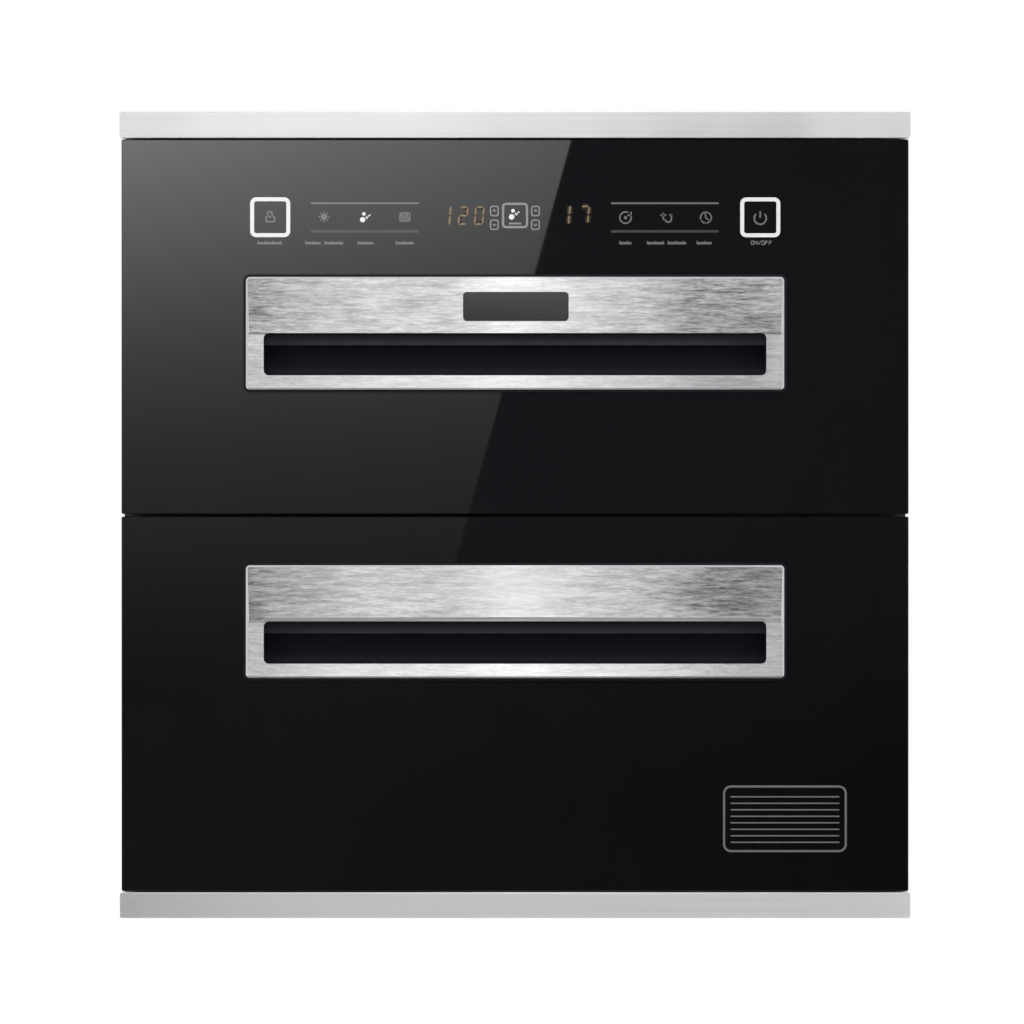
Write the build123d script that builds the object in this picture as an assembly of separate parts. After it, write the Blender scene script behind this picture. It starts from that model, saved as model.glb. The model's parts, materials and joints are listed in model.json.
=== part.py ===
from build123d import *
import math
import os

# Dish sterilizer cabinet for a kitchen niche: two glass-fronted drawers, one above the other.
# The upper chamber dries and treats with ozone, and the lower one heats with quartz tubes.
# Millimetres. +X is to the user's right, +Y into the niche, +Z up. The origin is on the plane
# where the front frame meets the niche (y = 0), on the centre line, at the soles of the feet.

os.makedirs("parts", exist_ok=True)

# Front, as it shows in the kitchen
face_width = 600.0
face_height = 612.0
face_lift = 1.0             # bottom trim's lower edge above the shelf
trim_height = 20.0
trim_sheet = 1.0
trim_proud = 1.0            # how far the trims stand in front of the glass
trim_corner = 1.2
trim_gap = 1.0              # between a trim and the glass next to it
seam_gap = 2.0              # between the two drawer fronts
glass_inset = 1.5           # glass edge inside each end of the trims
glass_thickness = 4.0
glass_corner = 0.8
glass_bevel = 0.5

# Drawer fronts behind the glass
door_depth = 20.0
door_inset = 3.0            # pan's edge inside the glass edge
door_sheet = 1.0
door_lip = 10.0             # turned-in lip that the glass is bonded to
seal_thickness = 3.0
seal_base = 1.2             # flat strip of the seal, under its bulb
seal_width = 8.0
seal_bulb = 5.0
seal_margin = 4.0           # chamber edge to the seal
seal_corner = 5.0

# Front frame
frame_sheet = 1.2
frame_inset = 2.0           # frame's edge inside each end of the trims
frame_drop = 1.0            # frame's edge inside the trims' outer edges
collar_depth = 12.0
screw_hole_radius = 2.25
screw_hole_outset = 10.0    # hole centres outside the body
screw_hole_spacing_z = 470.0

# Case
side_overhang = 22.0        # front's side edges beyond the body
top_overhang = 16.0         # front's top edge above the body
foot_height = 7.0
foot_radius = 18.0
foot_taper = 3.0
foot_sides = 16
foot_inset = 45.0
case_depth = 415.0
case_sheet = 1.0
case_flange = 12.0
vent_width = 4.0
vent_height = 36.0
vent_pitch = 12.0
vent_count = 5
louvre_length = 120.0
louvre_height = 4.0
louvre_pitch = 14.0
louvre_count = 6
hood_proud = 2.8            # how far a louvre's hood stands out of the sheet
hood_rise = 3.0             # hood's root above its slot
hood_sheet = 0.8

# Chambers
side_space = 23.0           # body's side to the chamber
door_overlap = 18.0         # glass above and below a chamber's mouth
rear_space = 65.0           # behind the chambers, for the fan and the boards
liner_sheet = 0.8
liner_flange = 12.0
blanket_thickness = 12.0

# Handles
plate_width = 408.0
plate_height = 85.4
plate_thickness = 2.5
plate_corner = 3.0
plate_bevel = 1.3
plate_lip = 1.2             # how far the lip over the recess leans out
recess_width = 381.0
recess_height = 32.0
recess_drop = 42.6          # plate's top edge to the recess
recess_corner = 4.0
upper_handle_drop = 104.3   # glass's top edge to the plate's top edge
lower_handle_drop = 36.9
bezel = 2.0                 # cup's flange that shows round the plate
cup_flange = 1.5
cup_wall = 1.5
cup_depth = 18.0
cup_rise = 6.0              # room for fingertips behind the lip
cup_fit = 0.5               # cup in the glass's cut-out
cup_fillet = 6.0
rail_drop = 9.0             # finger rail below the recess's top edge
rail_thickness = 3.0
rail_setback = 1.2
rail_lean = 1.0

# Telescopic slides: nested channels with ball cages between them
slide_front = 6.0           # behind the front frame's plane
slide_rear_gap = 9.0        # slide's end to the chamber's rear wall
travel_loss = 15.0          # how much shorter the drawer's travel is than its slides
slide_height = 35.0
slide_depth = 12.7
slide_sheet = 1.2
slide_corner = 2.0
slide_web_gap = 0.9         # between the webs of two nested members
slide_ball_gap = 2.9        # between the flanges of two nested members
slide_lift = 72.0           # slide's centre line above the chamber's floor
ball_radius = 1.25
balls_per_row = 3
cage_sheet = 0.4
cage_flange = 6.5
cage_margin = 6.0           # cage's end inside the overlap of its two members

# Side rails that carry the rack
rail_sheet = 1.2
rail_below = 15.0           # below the slide's centre line
rail_above = 20.0
rail_ledge = 11.0
rail_overrun = 10.0         # rail beyond the rack's rear end
rail_tab = 18.0             # bent tab that is screwed to the drawer front

# Racks
rim_wire = 5.0
rack_wire = 3.0
rack_front = 18.0
rack_rear_gap = 36.0        # rack's rear end to the chamber's rear wall
rack_side_gap = 1.2         # rim to the side rail
rack_leg_inset = 14.0       # basket's legs inside the rim
rack_floor_gap = 16.0       # chamber's floor to the basket
rack_bend = 8.0
cross_wires = 6
long_wires = 6
tine_pitch = 42.0
upper_tine_height = 62.0
lower_tine_height = 40.0
upper_tine_rows = (82.0, 132.0)
lower_tine_rows = (108.0, 216.0)

# Heating in the lower chamber
tube_radius = 6.0
tube_length = 380.0
tube_low = 62.0             # lower tube above the chamber's floor
tube_spacing = 74.0
tube_stand = 16.0           # tube's centre in front of the rear wall
socket_length = 16.0
socket_size = 18.0
reflector_sheet = 0.6
reflector_rim = 8.0
guard_wire = 2.5
guard_stand = 27.0          # guard's wires in front of the rear wall
guard_wires = 9
guard_margin = 26.0

# Ozone lamp in the upper chamber
lamp_radius = 7.5
lamp_length = 226.0
lamp_drop = 34.0            # lamp's centre below the chamber's ceiling
lamp_stand = 14.0
lamp_socket = 20.0

# Hot air behind the upper chamber
grille_width = 190.0
grille_height = 124.0
grille_sheet = 1.2
grille_slot = 5.0
grille_slots = 11
grille_pitch = 13.0
grille_margin = 14.0
duct_width = 150.0
duct_height = 96.0
heater_depth = 18.0
heater_fins = 12
heater_fin_pitch = 11.0
heater_fin_gap = 8.0
heater_rim = 6.0
fan_size = 92.0
fan_depth = 25.0
fan_bore = 44.0
fan_sides = 24
fan_wall_corner = 5.0
rotor_radius = 41.0
rotor_hub = 19.0
rotor_hub_wall = 2.0
hub_sides = 16
rotor_depth = 17.0
rotor_blades = 7
rotor_pitch = 40.0          # blade's angle to the plane of the fan
rotor_blade_sheet = 1.6
rotor_clearance = 1.2
motor_radius = 15.0
motor_depth = 13.0
shaft_radius = 1.5
shaft_clearance = 0.05
spoke_width = 5.0
spoke_depth = 3.0

# Electrical parts
tray_width = 180.0
tray_height = 110.0
tray_depth = 10.0
tray_wall = 2.0
tray_z = 120.0
board_sheet = 1.6
board_margin = 4.0
transformer_width = 40.0
transformer_height = 26.0
relay_width = 18.0
relay_length = 22.0
relay_height = 16.0
relay_pitch = 26.0
relay_lift = 6.0            # relays above the board's middle
capacitor_radius = 8.0
capacitor_height = 20.0
capacitor_x = 14.0
capacitor_drop = 22.0       # capacitor's centre below the board's middle
generator_width = 70.0
generator_height = 44.0
generator_depth = 30.0
generator_inset = 90.0      # generator's middle inside the chamber's left wall
gland_radius = 11.0
gland_length = 14.0
gland_collar = 3.0
gland_collar_radius = 14.0
gland_bore = 4.0
gland_inset = 66.8          # gland's middle inside the case's left side
gland_z = 60.0
cutout_radius = 8.0
cutout_depth = 6.0
sensor_width = 7.0
sensor_height = 24.0
sensor_depth = 6.0
sensor_drop = 44.0          # below the top of each chamber
magnet_depth = 2.4
control_width = 496.0
control_height = 60.0
control_depth = 14.0
control_drop = 59.0         # glass's top edge to the middle of the key row
control_wall = 1.5
post_width = 8.0
post_height = 12.0
key_board_gap = 3.0         # glass to the board
display_width = 150.0
display_height = 22.0

# Places worked out from the sizes above
frame_front = -frame_sheet
door_back = frame_front - seal_thickness
glass_back = door_back - door_depth
glass_front = glass_back - glass_thickness
trim_front = glass_front - trim_proud
cup_front = glass_front - cup_flange
plate_front = cup_front - plate_thickness

face_top = face_lift + face_height
body_width = face_width - 2 * side_overhang
body_top = face_top - top_overhang
body_height = body_top - foot_height
screw_hole_spacing_x = body_width + 2 * screw_hole_outset
glass_width = face_width - 2 * glass_inset
glass_height = (face_height - 2 * trim_height - 2 * trim_gap - seam_gap) / 2
lower_mid = face_lift + trim_height + trim_gap + glass_height / 2
upper_mid = lower_mid + glass_height + seam_gap

chamber_width = body_width - 2 * side_space
chamber_height = glass_height - 2 * door_overlap
chamber_depth = case_depth - rear_space
shell_half = body_width / 2 - frame_sheet        # case fits inside the frame's collar
shell_bottom = foot_height + frame_sheet
shell_top = body_top - frame_sheet
floor_top = shell_bottom + case_sheet
rear_inside = case_depth - case_sheet
liner_back = chamber_depth + liner_sheet
wall_x = chamber_width / 2
generator_x = generator_inset - wall_x
gland_x = gland_inset - shell_half
member_gap = slide_sheet + slide_ball_gap        # flange to flange of two nested members
inner_face = wall_x - slide_depth                # drawer side of the slides
slide_length = chamber_depth - slide_front - slide_rear_gap
drawer_travel = slide_length - travel_loss
rack_rear = chamber_depth - rack_rear_gap
rail_rear = rack_rear + rail_overrun
cage_start = slide_front + drawer_travel / 4 + cage_margin
cage_length = slide_length - drawer_travel / 2 - 2 * cage_margin
seal_inner_width = chamber_width + 2 * seal_margin
seal_inner_height = chamber_height + 2 * seal_margin


def block(x0, x1, y0, y1, z0, z1):
    """A rectangular block between two opposite corners."""
    middle = Pos((x0 + x1) / 2, (y0 + y1) / 2, (z0 + z1) / 2)
    return middle * Box(x1 - x0, y1 - y0, z1 - z0)


def front_to_back(section, y0, y1):
    """A section drawn in the XZ plane, carried from y0 back to y1."""
    return extrude(Plane.XZ.offset(-y1) * section, y1 - y0, dir=(0, -1, 0))


def side_to_side(section, x0, x1):
    """A section drawn in the YZ plane, carried from x0 to x1."""
    return extrude(Plane.YZ.offset(x0) * section, x1 - x0, dir=(1, 0, 0))


def clipped(width, height, corner):
    """A rectangle whose corners are cut off at 45 degrees."""
    whole = Rectangle(width, height)
    return chamfer(whole.vertices(), corner)


def panel(width, height, y0, y1, z_mid, corner=0.0):
    """An upright plate between y0 and y1, with its corners cut off where a size is given."""
    outline = clipped(width, height, corner) if corner else Rectangle(width, height)
    return front_to_back(Pos(0, z_mid) * outline, y0, y1)


def rounded_panel(width, height, corner, y0, y1, z_mid):
    """An upright plate with rounded corners, between y0 and y1."""
    return front_to_back(Pos(0, z_mid) * RectangleRounded(width, height, corner), y0, y1)


def chamber_bottom(glass_mid):
    """The height of a chamber's floor, from the middle of the glass in front of it."""
    return glass_mid - chamber_height / 2


def both_sides(solid):
    """A solid and its mirror image across the cabinet's centre line."""
    return Compound(children=[solid, mirror(solid, about=Plane.YZ)])


# ---- Case

def case_wrap():
    """One sheet folded over the top and down both sides, with vent slots near the rear."""
    outer = block(-shell_half, shell_half, 0, case_depth, shell_bottom, shell_top)
    inner_half = shell_half - case_sheet
    inner = block(-inner_half, inner_half, 0, case_depth, shell_bottom, shell_top - case_sheet)
    wrap = outer - inner
    for bank_mid in (lower_mid, upper_mid):
        for i in range(vent_count):
            y_mid = rear_inside - case_flange - (i + 1) * vent_pitch
            wrap -= Pos(0, y_mid, bank_mid) * Box(body_width, vent_width, vent_height)
    return wrap


def base_pan():
    """Floor sheet with both long edges turned up inside the wrap."""
    half = shell_half - case_sheet
    rear = rear_inside - case_flange
    floor = block(-half, half, 0, case_depth, shell_bottom, floor_top)
    edge = block(half - case_sheet, half, 0, rear, floor_top, floor_top + case_flange)
    return floor + edge + mirror(edge, about=Plane.YZ)


def gland_outline():
    """Outline of the gland's barrel, with flats that stop it turning in the back panel."""
    return RegularPolygon(gland_radius, 8)


def louvre_hood(z_mid):
    """Pressed hood over one slot: a curved flap, open below, with a cheek at each end."""
    root = z_mid + louvre_height / 2
    foot = z_mid - louvre_height / 2
    outside = [
        (case_depth, root + hood_rise), (case_depth + 0.7 * hood_proud, root),
        (case_depth + hood_proud, foot),
    ]
    inside = [(y - hood_sheet, z) for y, z in reversed(outside[1:])]
    flap = Polygon(*outside, *inside, (rear_inside, root), align=None)
    cheek = Polygon(*outside, (rear_inside, foot), (rear_inside, root + hood_rise), align=None)
    left = (wall_x - louvre_length) / 2
    right = left + louvre_length
    hood = side_to_side(flap, left, right)
    hood += side_to_side(cheek, left - hood_sheet, left)
    return hood + side_to_side(cheek, right, right + hood_sheet)


def back_panel():
    """Rear sheet with its four edges turned forward, two banks of louvres and the gland's hole."""
    half = shell_half - case_sheet
    top = shell_top - case_sheet
    front = rear_inside - case_flange
    outer = block(-half, half, front, case_depth, floor_top, top)
    inner = block(
        -half + case_sheet, half - case_sheet, front, rear_inside, floor_top + case_sheet, top - case_sheet
    )
    sheet = outer - inner
    for z_mid in (lower_mid, upper_mid):
        for i in range(louvre_count):
            z = z_mid + (i - (louvre_count - 1) / 2) * louvre_pitch
            sheet -= Pos(wall_x / 2, case_depth, z) * Box(louvre_length, case_flange, louvre_height)
            sheet += louvre_hood(z)
    return sheet - front_to_back(Pos(gland_x, gland_z) * gland_outline(), rear_inside, case_depth)


def feet():
    """Four rubber feet under the base pan, narrower at the soles."""
    half = shell_half - foot_inset
    rear = case_depth - foot_inset
    sole = Plane.XY * RegularPolygon(foot_radius - foot_taper, foot_sides)
    head = Plane.XY.offset(shell_bottom) * RegularPolygon(foot_radius, foot_sides)
    foot = loft([sole, head])
    return Compound(children=[Pos(x, y, 0) * foot for x in (-half, half) for y in (foot_inset, rear)])


def face_frame():
    """Front frame: a plate with both chambers' mouths, and a collar that holds the case."""
    width = face_width - 2 * frame_inset
    height = face_height - 2 * frame_drop
    mid = face_lift + face_height / 2
    frame = panel(width, height, frame_front, 0, mid)
    case_mid = foot_height + body_height / 2
    collar = Rectangle(body_width, body_height) - Rectangle(2 * shell_half, shell_top - shell_bottom)
    frame += front_to_back(Pos(0, case_mid) * collar, 0, collar_depth)
    for glass_mid in (lower_mid, upper_mid):
        frame -= panel(chamber_width, chamber_height, frame_front, 0, glass_mid)
    for x in (-screw_hole_spacing_x / 2, screw_hole_spacing_x / 2):
        for z in (mid - screw_hole_spacing_z / 2, mid + screw_hole_spacing_z / 2):
            frame -= Pos(x, 0, z) * Rot(90, 0, 0) * Cylinder(screw_hole_radius, collar_depth)
    return frame


def trim(z_low):
    """Stainless trim bar: a folded cap, open behind, that seats on the front frame."""
    mid = z_low + trim_height / 2
    bar = panel(face_width, trim_height, trim_front, frame_front, mid, trim_corner)
    inside = panel(
        face_width - 2 * trim_sheet, trim_height - 2 * trim_sheet,
        trim_front + trim_sheet, frame_front, mid, trim_corner,
    )
    front_edges = bar.faces().sort_by(Axis.Y)[0].edges()
    return chamfer(front_edges, trim_sheet / 2) - inside


# ---- Chambers

def liner(glass_mid):
    """Stainless chamber: a folded box, open in front, with a flange behind the front frame."""
    shell = panel(
        chamber_width + 2 * liner_sheet, chamber_height + 2 * liner_sheet, 0, liner_back, glass_mid
    )
    flange = panel(
        chamber_width + 2 * liner_flange, chamber_height + 2 * liner_flange, 0, liner_sheet, glass_mid
    )
    inside = panel(chamber_width, chamber_height, 0, chamber_depth, glass_mid)
    return shell + flange - inside


def upper_liner():
    """Upper chamber, with the hot-air opening in its rear wall."""
    opening = block(
        -duct_width / 2 + heater_rim, duct_width / 2 - heater_rim, chamber_depth, liner_back,
        upper_mid - duct_height / 2 + heater_rim, upper_mid + duct_height / 2 - heater_rim,
    )
    return liner(upper_mid) - opening


def lower_insulation():
    """Mineral wool blanket round the lower chamber, with a hole for its thermal cut-out."""
    grown = 2 * liner_sheet + 2 * blanket_thickness
    blanket = panel(
        chamber_width + grown, chamber_height + grown, liner_sheet, liner_back + blanket_thickness,
        lower_mid, blanket_thickness / 2,
    )
    blanket -= panel(
        chamber_width + 2 * liner_sheet, chamber_height + 2 * liner_sheet, liner_sheet, liner_back, lower_mid
    )
    side = 2 * cutout_radius + case_flange
    return blanket - Pos(0, liner_back, lower_mid) * Box(side, 3 * blanket_thickness, side)


# ---- Telescopic slides

def channel(level):
    """Section of slide member 0, 1 or 2, counted from the wall, on the cabinet's right side."""
    half = slide_height / 2 - level * member_gap
    if level == 2:
        open_x = wall_x - slide_sheet - slide_web_gap - slide_sheet - slide_web_gap
        web_x = inner_face
    else:
        web_x = wall_x - level * (slide_sheet + slide_web_gap)
        open_x = inner_face + slide_sheet + slide_web_gap
    depth = abs(web_x - open_x)
    mid = (web_x + open_x) / 2
    outer = clipped(2 * depth, 2 * half, slide_corner)
    inner = clipped(2 * depth - 2 * slide_sheet, 2 * half - 2 * slide_sheet, slide_corner - slide_sheet / 2)
    side = 1 if web_x > open_x else -1
    keep = Pos(side * depth / 2, 0) * Rectangle(depth, 2 * half)
    return Pos(mid - side * depth / 2, 0) * ((outer - inner) & keep)


def slide_member(level, glass_mid):
    """The left and right slide members of one level."""
    z = chamber_bottom(glass_mid) + slide_lift
    section = Pos(0, z) * channel(level)
    return both_sides(front_to_back(section, slide_front, slide_front + slide_length))


def ball():
    """A bearing ball, cut with twelve equal faces, two of them level with the races."""
    square = Rot(0, 0, 45) * Rectangle(2 * ball_radius, 2 * ball_radius)
    along = [extrude(plane * square, 2 * ball_radius, both=True) for plane in (Plane.XY, Plane.XZ, Plane.YZ)]
    return Rot(45, 0, 0) * (along[0] & along[1] & along[2])


def ball_cage(level, glass_mid):
    """Cage 0 or 1 of each side: a thin strip between two members, with a row of balls on each flange."""
    z_mid = chamber_bottom(glass_mid) + slide_lift
    half = slide_height / 2 - slide_sheet - slide_ball_gap / 2 - level * member_gap
    web_x = wall_x - (level + 1) * (slide_sheet + slide_web_gap) + slide_web_gap / 2 + cage_sheet / 2
    y0 = cage_start
    y1 = cage_start + cage_length
    ball_pitch = cage_length / balls_per_row
    flat = half - cage_sheet / 2
    cage = block(web_x - cage_sheet, web_x, y0, y1, z_mid - flat, z_mid + flat)
    ball_x = web_x - cage_flange / 2
    for up in (1, -1):
        z = z_mid + up * half
        cage += block(
            web_x - cage_flange, web_x, y0, y1, z - cage_sheet / 2, z + cage_sheet / 2
        )
        for i in range(balls_per_row):
            cage += Pos(ball_x, y0 + (i + 0.5) * ball_pitch, z) * ball()
    return both_sides(cage)


def side_rails(glass_mid):
    """Sheet rails on the slides' inner members: a ledge for the rack, a tab for the drawer front."""
    z_mid = chamber_bottom(glass_mid) + slide_lift
    low = z_mid - rail_below
    high = z_mid + rail_above
    x_out = inner_face
    x_in = x_out - rail_sheet
    rail = block(x_in, x_out, door_back, rail_rear, low, high)
    rail += block(x_in - rail_ledge, x_in, rack_front - rim_wire, rail_rear, high - rail_sheet, high)
    rail += block(x_in - rail_tab, x_in, door_back, door_back + rail_sheet, low, high)
    return both_sides(rail)


# ---- Racks

def bent_wire(points, diameter, sides=6, closed=False):
    """A wire through points, as a bar with flat sides, two of them level, mitred where it bends."""
    start = Vector(*points[0])
    along = Vector(*points[1]) - start
    if closed:
        start = start + along / 2
    level = along.cross(Vector(0, 0, 1))
    if level.length < along.length / 2:
        level = Vector(1, 0, 0)
    section = RegularPolygon(diameter / 2, sides, major_radius=False, rotation=90 - 180 / sides)
    profile = Plane(start, x_dir=level, z_dir=along) * section
    return sweep(profile, path=Polyline(*points, close=closed), transition=Transition.RIGHT)


def rack(glass_mid, tine_rows, tine_height):
    """Wire basket: a rim on the side rails, wires hung across and along it, and rows of plate tines."""
    floor_z = chamber_bottom(glass_mid) + rack_floor_gap + rack_wire / 2
    rim_z = chamber_bottom(glass_mid) + slide_lift + rail_above + rim_wire / 2
    rim_x = inner_face - rail_sheet - rack_side_gap - rim_wire / 2
    leg_x = rim_x - rack_leg_inset
    rim_y0 = rack_front + rim_wire / 2
    rim_y1 = rack_rear - rim_wire / 2
    touch = (rim_wire + rack_wire) / 2
    b = rack_bend
    rim = [
        (-rim_x + b, rim_y0, rim_z), (rim_x - b, rim_y0, rim_z), (rim_x, rim_y0 + b, rim_z),
        (rim_x, rim_y1 - b, rim_z), (rim_x - b, rim_y1, rim_z), (-rim_x + b, rim_y1, rim_z),
        (-rim_x, rim_y1 - b, rim_z), (-rim_x, rim_y0 + b, rim_z),
    ]
    wires = [bent_wire(rim, rim_wire, sides=8, closed=True)]
    cross_pitch = (rim_y1 - rim_y0 - 2 * rack_bend - 2 * touch) / (cross_wires - 1)
    for i in range(cross_wires):
        y = rim_y0 + rack_bend + touch + i * cross_pitch
        half = [(rim_x, rim_z + touch), (leg_x, rim_z + touch), (leg_x, floor_z + b), (leg_x - b, floor_z)]
        path = [(-x, y, z) for x, z in half] + [(x, y, z) for x, z in reversed(half)]
        wires.append(bent_wire(path, rack_wire))
    along_z = floor_z + rack_wire
    long_pitch = 2 * (leg_x - 2 * b) / (long_wires - 1)
    y0 = rim_y0 + touch
    y1 = rim_y1 - touch
    for i in range(long_wires):
        x = -leg_x + 2 * b + i * long_pitch
        path = [
            (x, y0, rim_z), (x, y0, along_z + b), (x, y0 + b, along_z),
            (x, y1 - b, along_z), (x, y1, along_z + b), (x, y1, rim_z),
        ]
        wires.append(bent_wire(path, rack_wire))
    carrier_z = along_z + rack_wire
    tine_foot = carrier_z + rack_wire / 2
    tines = int(2 * (leg_x - b) / tine_pitch)
    for row in tine_rows:
        y = rack_front + row
        wires.append(bent_wire([(-leg_x + b, y, carrier_z), (leg_x - b, y, carrier_z)], rack_wire))
        for i in range(tines):
            x = (i - (tines - 1) / 2) * tine_pitch
            wires.append(bent_wire([(x, y, tine_foot), (x, y, tine_foot + tine_height)], rack_wire))
    return Compound(children=wires)


# ---- Drawer fronts

def recess_span(glass_mid, drop):
    """Bottom and top of a handle's recess."""
    top = glass_mid + glass_height / 2 - drop - recess_drop
    return top - recess_height, top


def cup_body(glass_mid, drop, grown=0.0):
    """The block that a handle cup fills behind the glass, grown all round by a fit."""
    low, high = recess_span(glass_mid, drop)
    wide = recess_width / 2 + cup_wall + grown
    return block(
        -wide, wide, cup_front, cup_front + cup_depth + cup_wall,
        low - cup_wall - grown, high + cup_rise + cup_wall + grown,
    )


def handle_cup(glass_mid, drop):
    """Black moulded cup: a flange on the glass, a tub for the fingers and a rail to pull on."""
    low, high = recess_span(glass_mid, drop)
    plate_mid = glass_mid + glass_height / 2 - drop - plate_height / 2
    flange = rounded_panel(
        plate_width + 2 * bezel, plate_height + 2 * bezel, plate_corner + bezel,
        cup_front, glass_front, plate_mid,
    )
    rail_face = cup_front + rail_setback
    rail_back = rail_face + rail_lean + rail_thickness
    rear = cup_front + cup_depth
    hollow = Polygon(
        (cup_front, low), (cup_front, high), (rail_face, high),
        (rail_face + rail_lean, high - rail_drop), (rail_back, high - rail_drop),
        (rail_back, high + cup_rise), (rear, high + cup_rise), (rear, low), align=None,
    )
    rear_corners = hollow.vertices().sort_by(Axis.X)[-2:]
    hollow = fillet(rear_corners, cup_fillet)
    half = recess_width / 2
    return flange + cup_body(glass_mid, drop) - side_to_side(hollow, -half, half)


def handle_plate(glass_mid, drop):
    """Brushed cover plate: its upper part leans out into a lip over the recess, with bevelled edges."""
    low, high = recess_span(glass_mid, drop)
    top = glass_mid + glass_height / 2 - drop
    bottom = top - plate_height
    section = Polygon(
        (cup_front, bottom), (plate_front, bottom), (plate_front, high),
        (plate_front - plate_lip, high), (plate_front, top), (cup_front, top), align=None,
    )
    half = plate_width / 2
    outline = Pos(0, (top + bottom) / 2) * RectangleRounded(plate_width, plate_height, plate_corner)
    bevel_start = plate_front + plate_bevel
    edge = front_to_back(outline, bevel_start, cup_front)
    edge += extrude(Plane.XZ.offset(-bevel_start) * outline, plate_bevel + plate_lip, taper=45)
    opening = rounded_panel(
        recess_width, recess_height, recess_corner, plate_front - plate_lip, cup_front, (low + high) / 2
    )
    return (side_to_side(section, -half, half) & edge) - opening


def glass(glass_mid, drop):
    """Tempered glass with ground edges and the cut-out for the handle cup."""
    sheet = panel(glass_width, glass_height, glass_front, glass_back, glass_mid, glass_corner)
    sheet = chamfer(sheet.faces().sort_by(Axis.Y)[0].edges(), glass_bevel)
    return sheet - cup_body(glass_mid, drop, cup_fit)


def door_pan(glass_mid):
    """Folded steel pan behind the glass: a back wall, four sides and a turned-in lip."""
    width = glass_width - 2 * door_inset
    height = glass_height - 2 * door_inset
    pan = panel(width, height, glass_back, door_back, glass_mid)
    pan -= panel(
        width - 2 * door_sheet, height - 2 * door_sheet,
        glass_back + door_sheet, door_back - door_sheet, glass_mid,
    )
    lip = 2 * door_lip
    return pan - panel(width - lip, height - lip, glass_back, glass_back + door_sheet, glass_mid)


def door_core(glass_mid, drop):
    """Rigid foam that fills the pan round the handle cup."""
    width = glass_width - 2 * door_inset - 2 * door_sheet
    height = glass_height - 2 * door_inset - 2 * door_sheet
    foam = panel(width, height, glass_back + door_sheet, door_back - door_sheet, glass_mid)
    return foam - cup_body(glass_mid, drop, cup_fit)


def upper_door_core():
    """Foam of the upper front, with room for the control tray."""
    z_mid = upper_mid + glass_height / 2 - control_drop
    room = Pos(0, glass_back + control_depth / 2, z_mid) * Box(control_width, control_depth, control_height)
    return door_core(upper_mid, upper_handle_drop) - room


def seal_ring(margin, width, y0, y1, glass_mid):
    """A ring of the seal, its inner edge a margin outside the seal's own, with clipped corners."""
    inner_width = seal_inner_width + 2 * margin
    inner_height = seal_inner_height + 2 * margin
    outer_corner = seal_corner + width / 2
    outer = panel(inner_width + 2 * width, inner_height + 2 * width, y0, y1, glass_mid, outer_corner)
    return outer - panel(inner_width, inner_height, y0, y1, glass_mid, seal_corner)


def door_seal(glass_mid):
    """Silicone seal round a chamber's mouth: a flat strip with a narrower bulb."""
    strip = seal_ring(0, seal_width, door_back, door_back + seal_base, glass_mid)
    shoulder = (seal_width - seal_bulb) / 2
    return strip + seal_ring(shoulder, seal_bulb, door_back + seal_base, frame_front, glass_mid)


def door_magnet(glass_mid):
    """Small magnet on the pan that the door sensor reads."""
    x_mid = shell_half - case_sheet - sensor_width / 2 - case_sheet
    z_mid = chamber_bottom(glass_mid) + chamber_height - sensor_drop
    y_mid = door_back + magnet_depth / 2
    return Pos(x_mid, y_mid, z_mid) * Box(sensor_width, magnet_depth, sensor_height)


def control_tray():
    """Moulded tray behind the glass that holds the touch board."""
    z_mid = upper_mid + glass_height / 2 - control_drop
    outer = Pos(0, glass_back + control_depth / 2, z_mid) * Box(control_width, control_depth, control_height)
    inner = Pos(0, glass_back + (control_depth - control_wall) / 2, z_mid) * Box(
        control_width - 2 * control_wall, control_depth - control_wall, control_height - 2 * control_wall
    )
    tray = outer - inner
    y0 = glass_back + key_board_gap + board_sheet
    y1 = glass_back + control_depth - control_wall
    for x in (-control_width / 3, control_width / 3):
        tray += Pos(x, (y0 + y1) / 2, z_mid) * Box(post_width, y1 - y0, post_height)
    return tray


def control_board():
    """Touch and display board, held a little way behind the glass."""
    z_mid = upper_mid + glass_height / 2 - control_drop
    width = control_width - 2 * control_wall
    height = control_height - 2 * control_wall
    y0 = glass_back + key_board_gap
    return Pos(0, y0 + board_sheet / 2, z_mid) * Box(width, board_sheet, height)


def display_module():
    """Digit block between the board and the glass."""
    z_mid = upper_mid + glass_height / 2 - control_drop
    return Pos(0, glass_back + key_board_gap / 2, z_mid) * Box(display_width, key_board_gap, display_height)


# ---- Lower chamber's heating

def tube_heights():
    """Centre heights of the two quartz tubes."""
    low = chamber_bottom(lower_mid) + tube_low
    return low, low + tube_spacing


def heater_tubes():
    """Two quartz tubes across the rear wall."""
    y = chamber_depth - tube_stand
    half = tube_length / 2
    tubes = [side_to_side(Pos(y, z) * Circle(tube_radius), -half, half) for z in tube_heights()]
    return Compound(children=tubes)


def heater_sockets():
    """Ceramic sockets at the tubes' ends, on the rear wall."""
    y = chamber_depth - tube_stand
    half = tube_length / 2
    low = Pos((y + chamber_depth) / 2, 0)
    sockets = []
    for z in tube_heights():
        section = Pos(0, z) * low * Rectangle(chamber_depth - y, socket_size)
        section += Pos(y, z) * RegularPolygon(socket_size / 2, 8, major_radius=False, rotation=22.5)
        cap = side_to_side(section, half, half + socket_length)
        sockets += [cap, mirror(cap, about=Plane.YZ)]
    return Compound(children=sockets)


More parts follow.
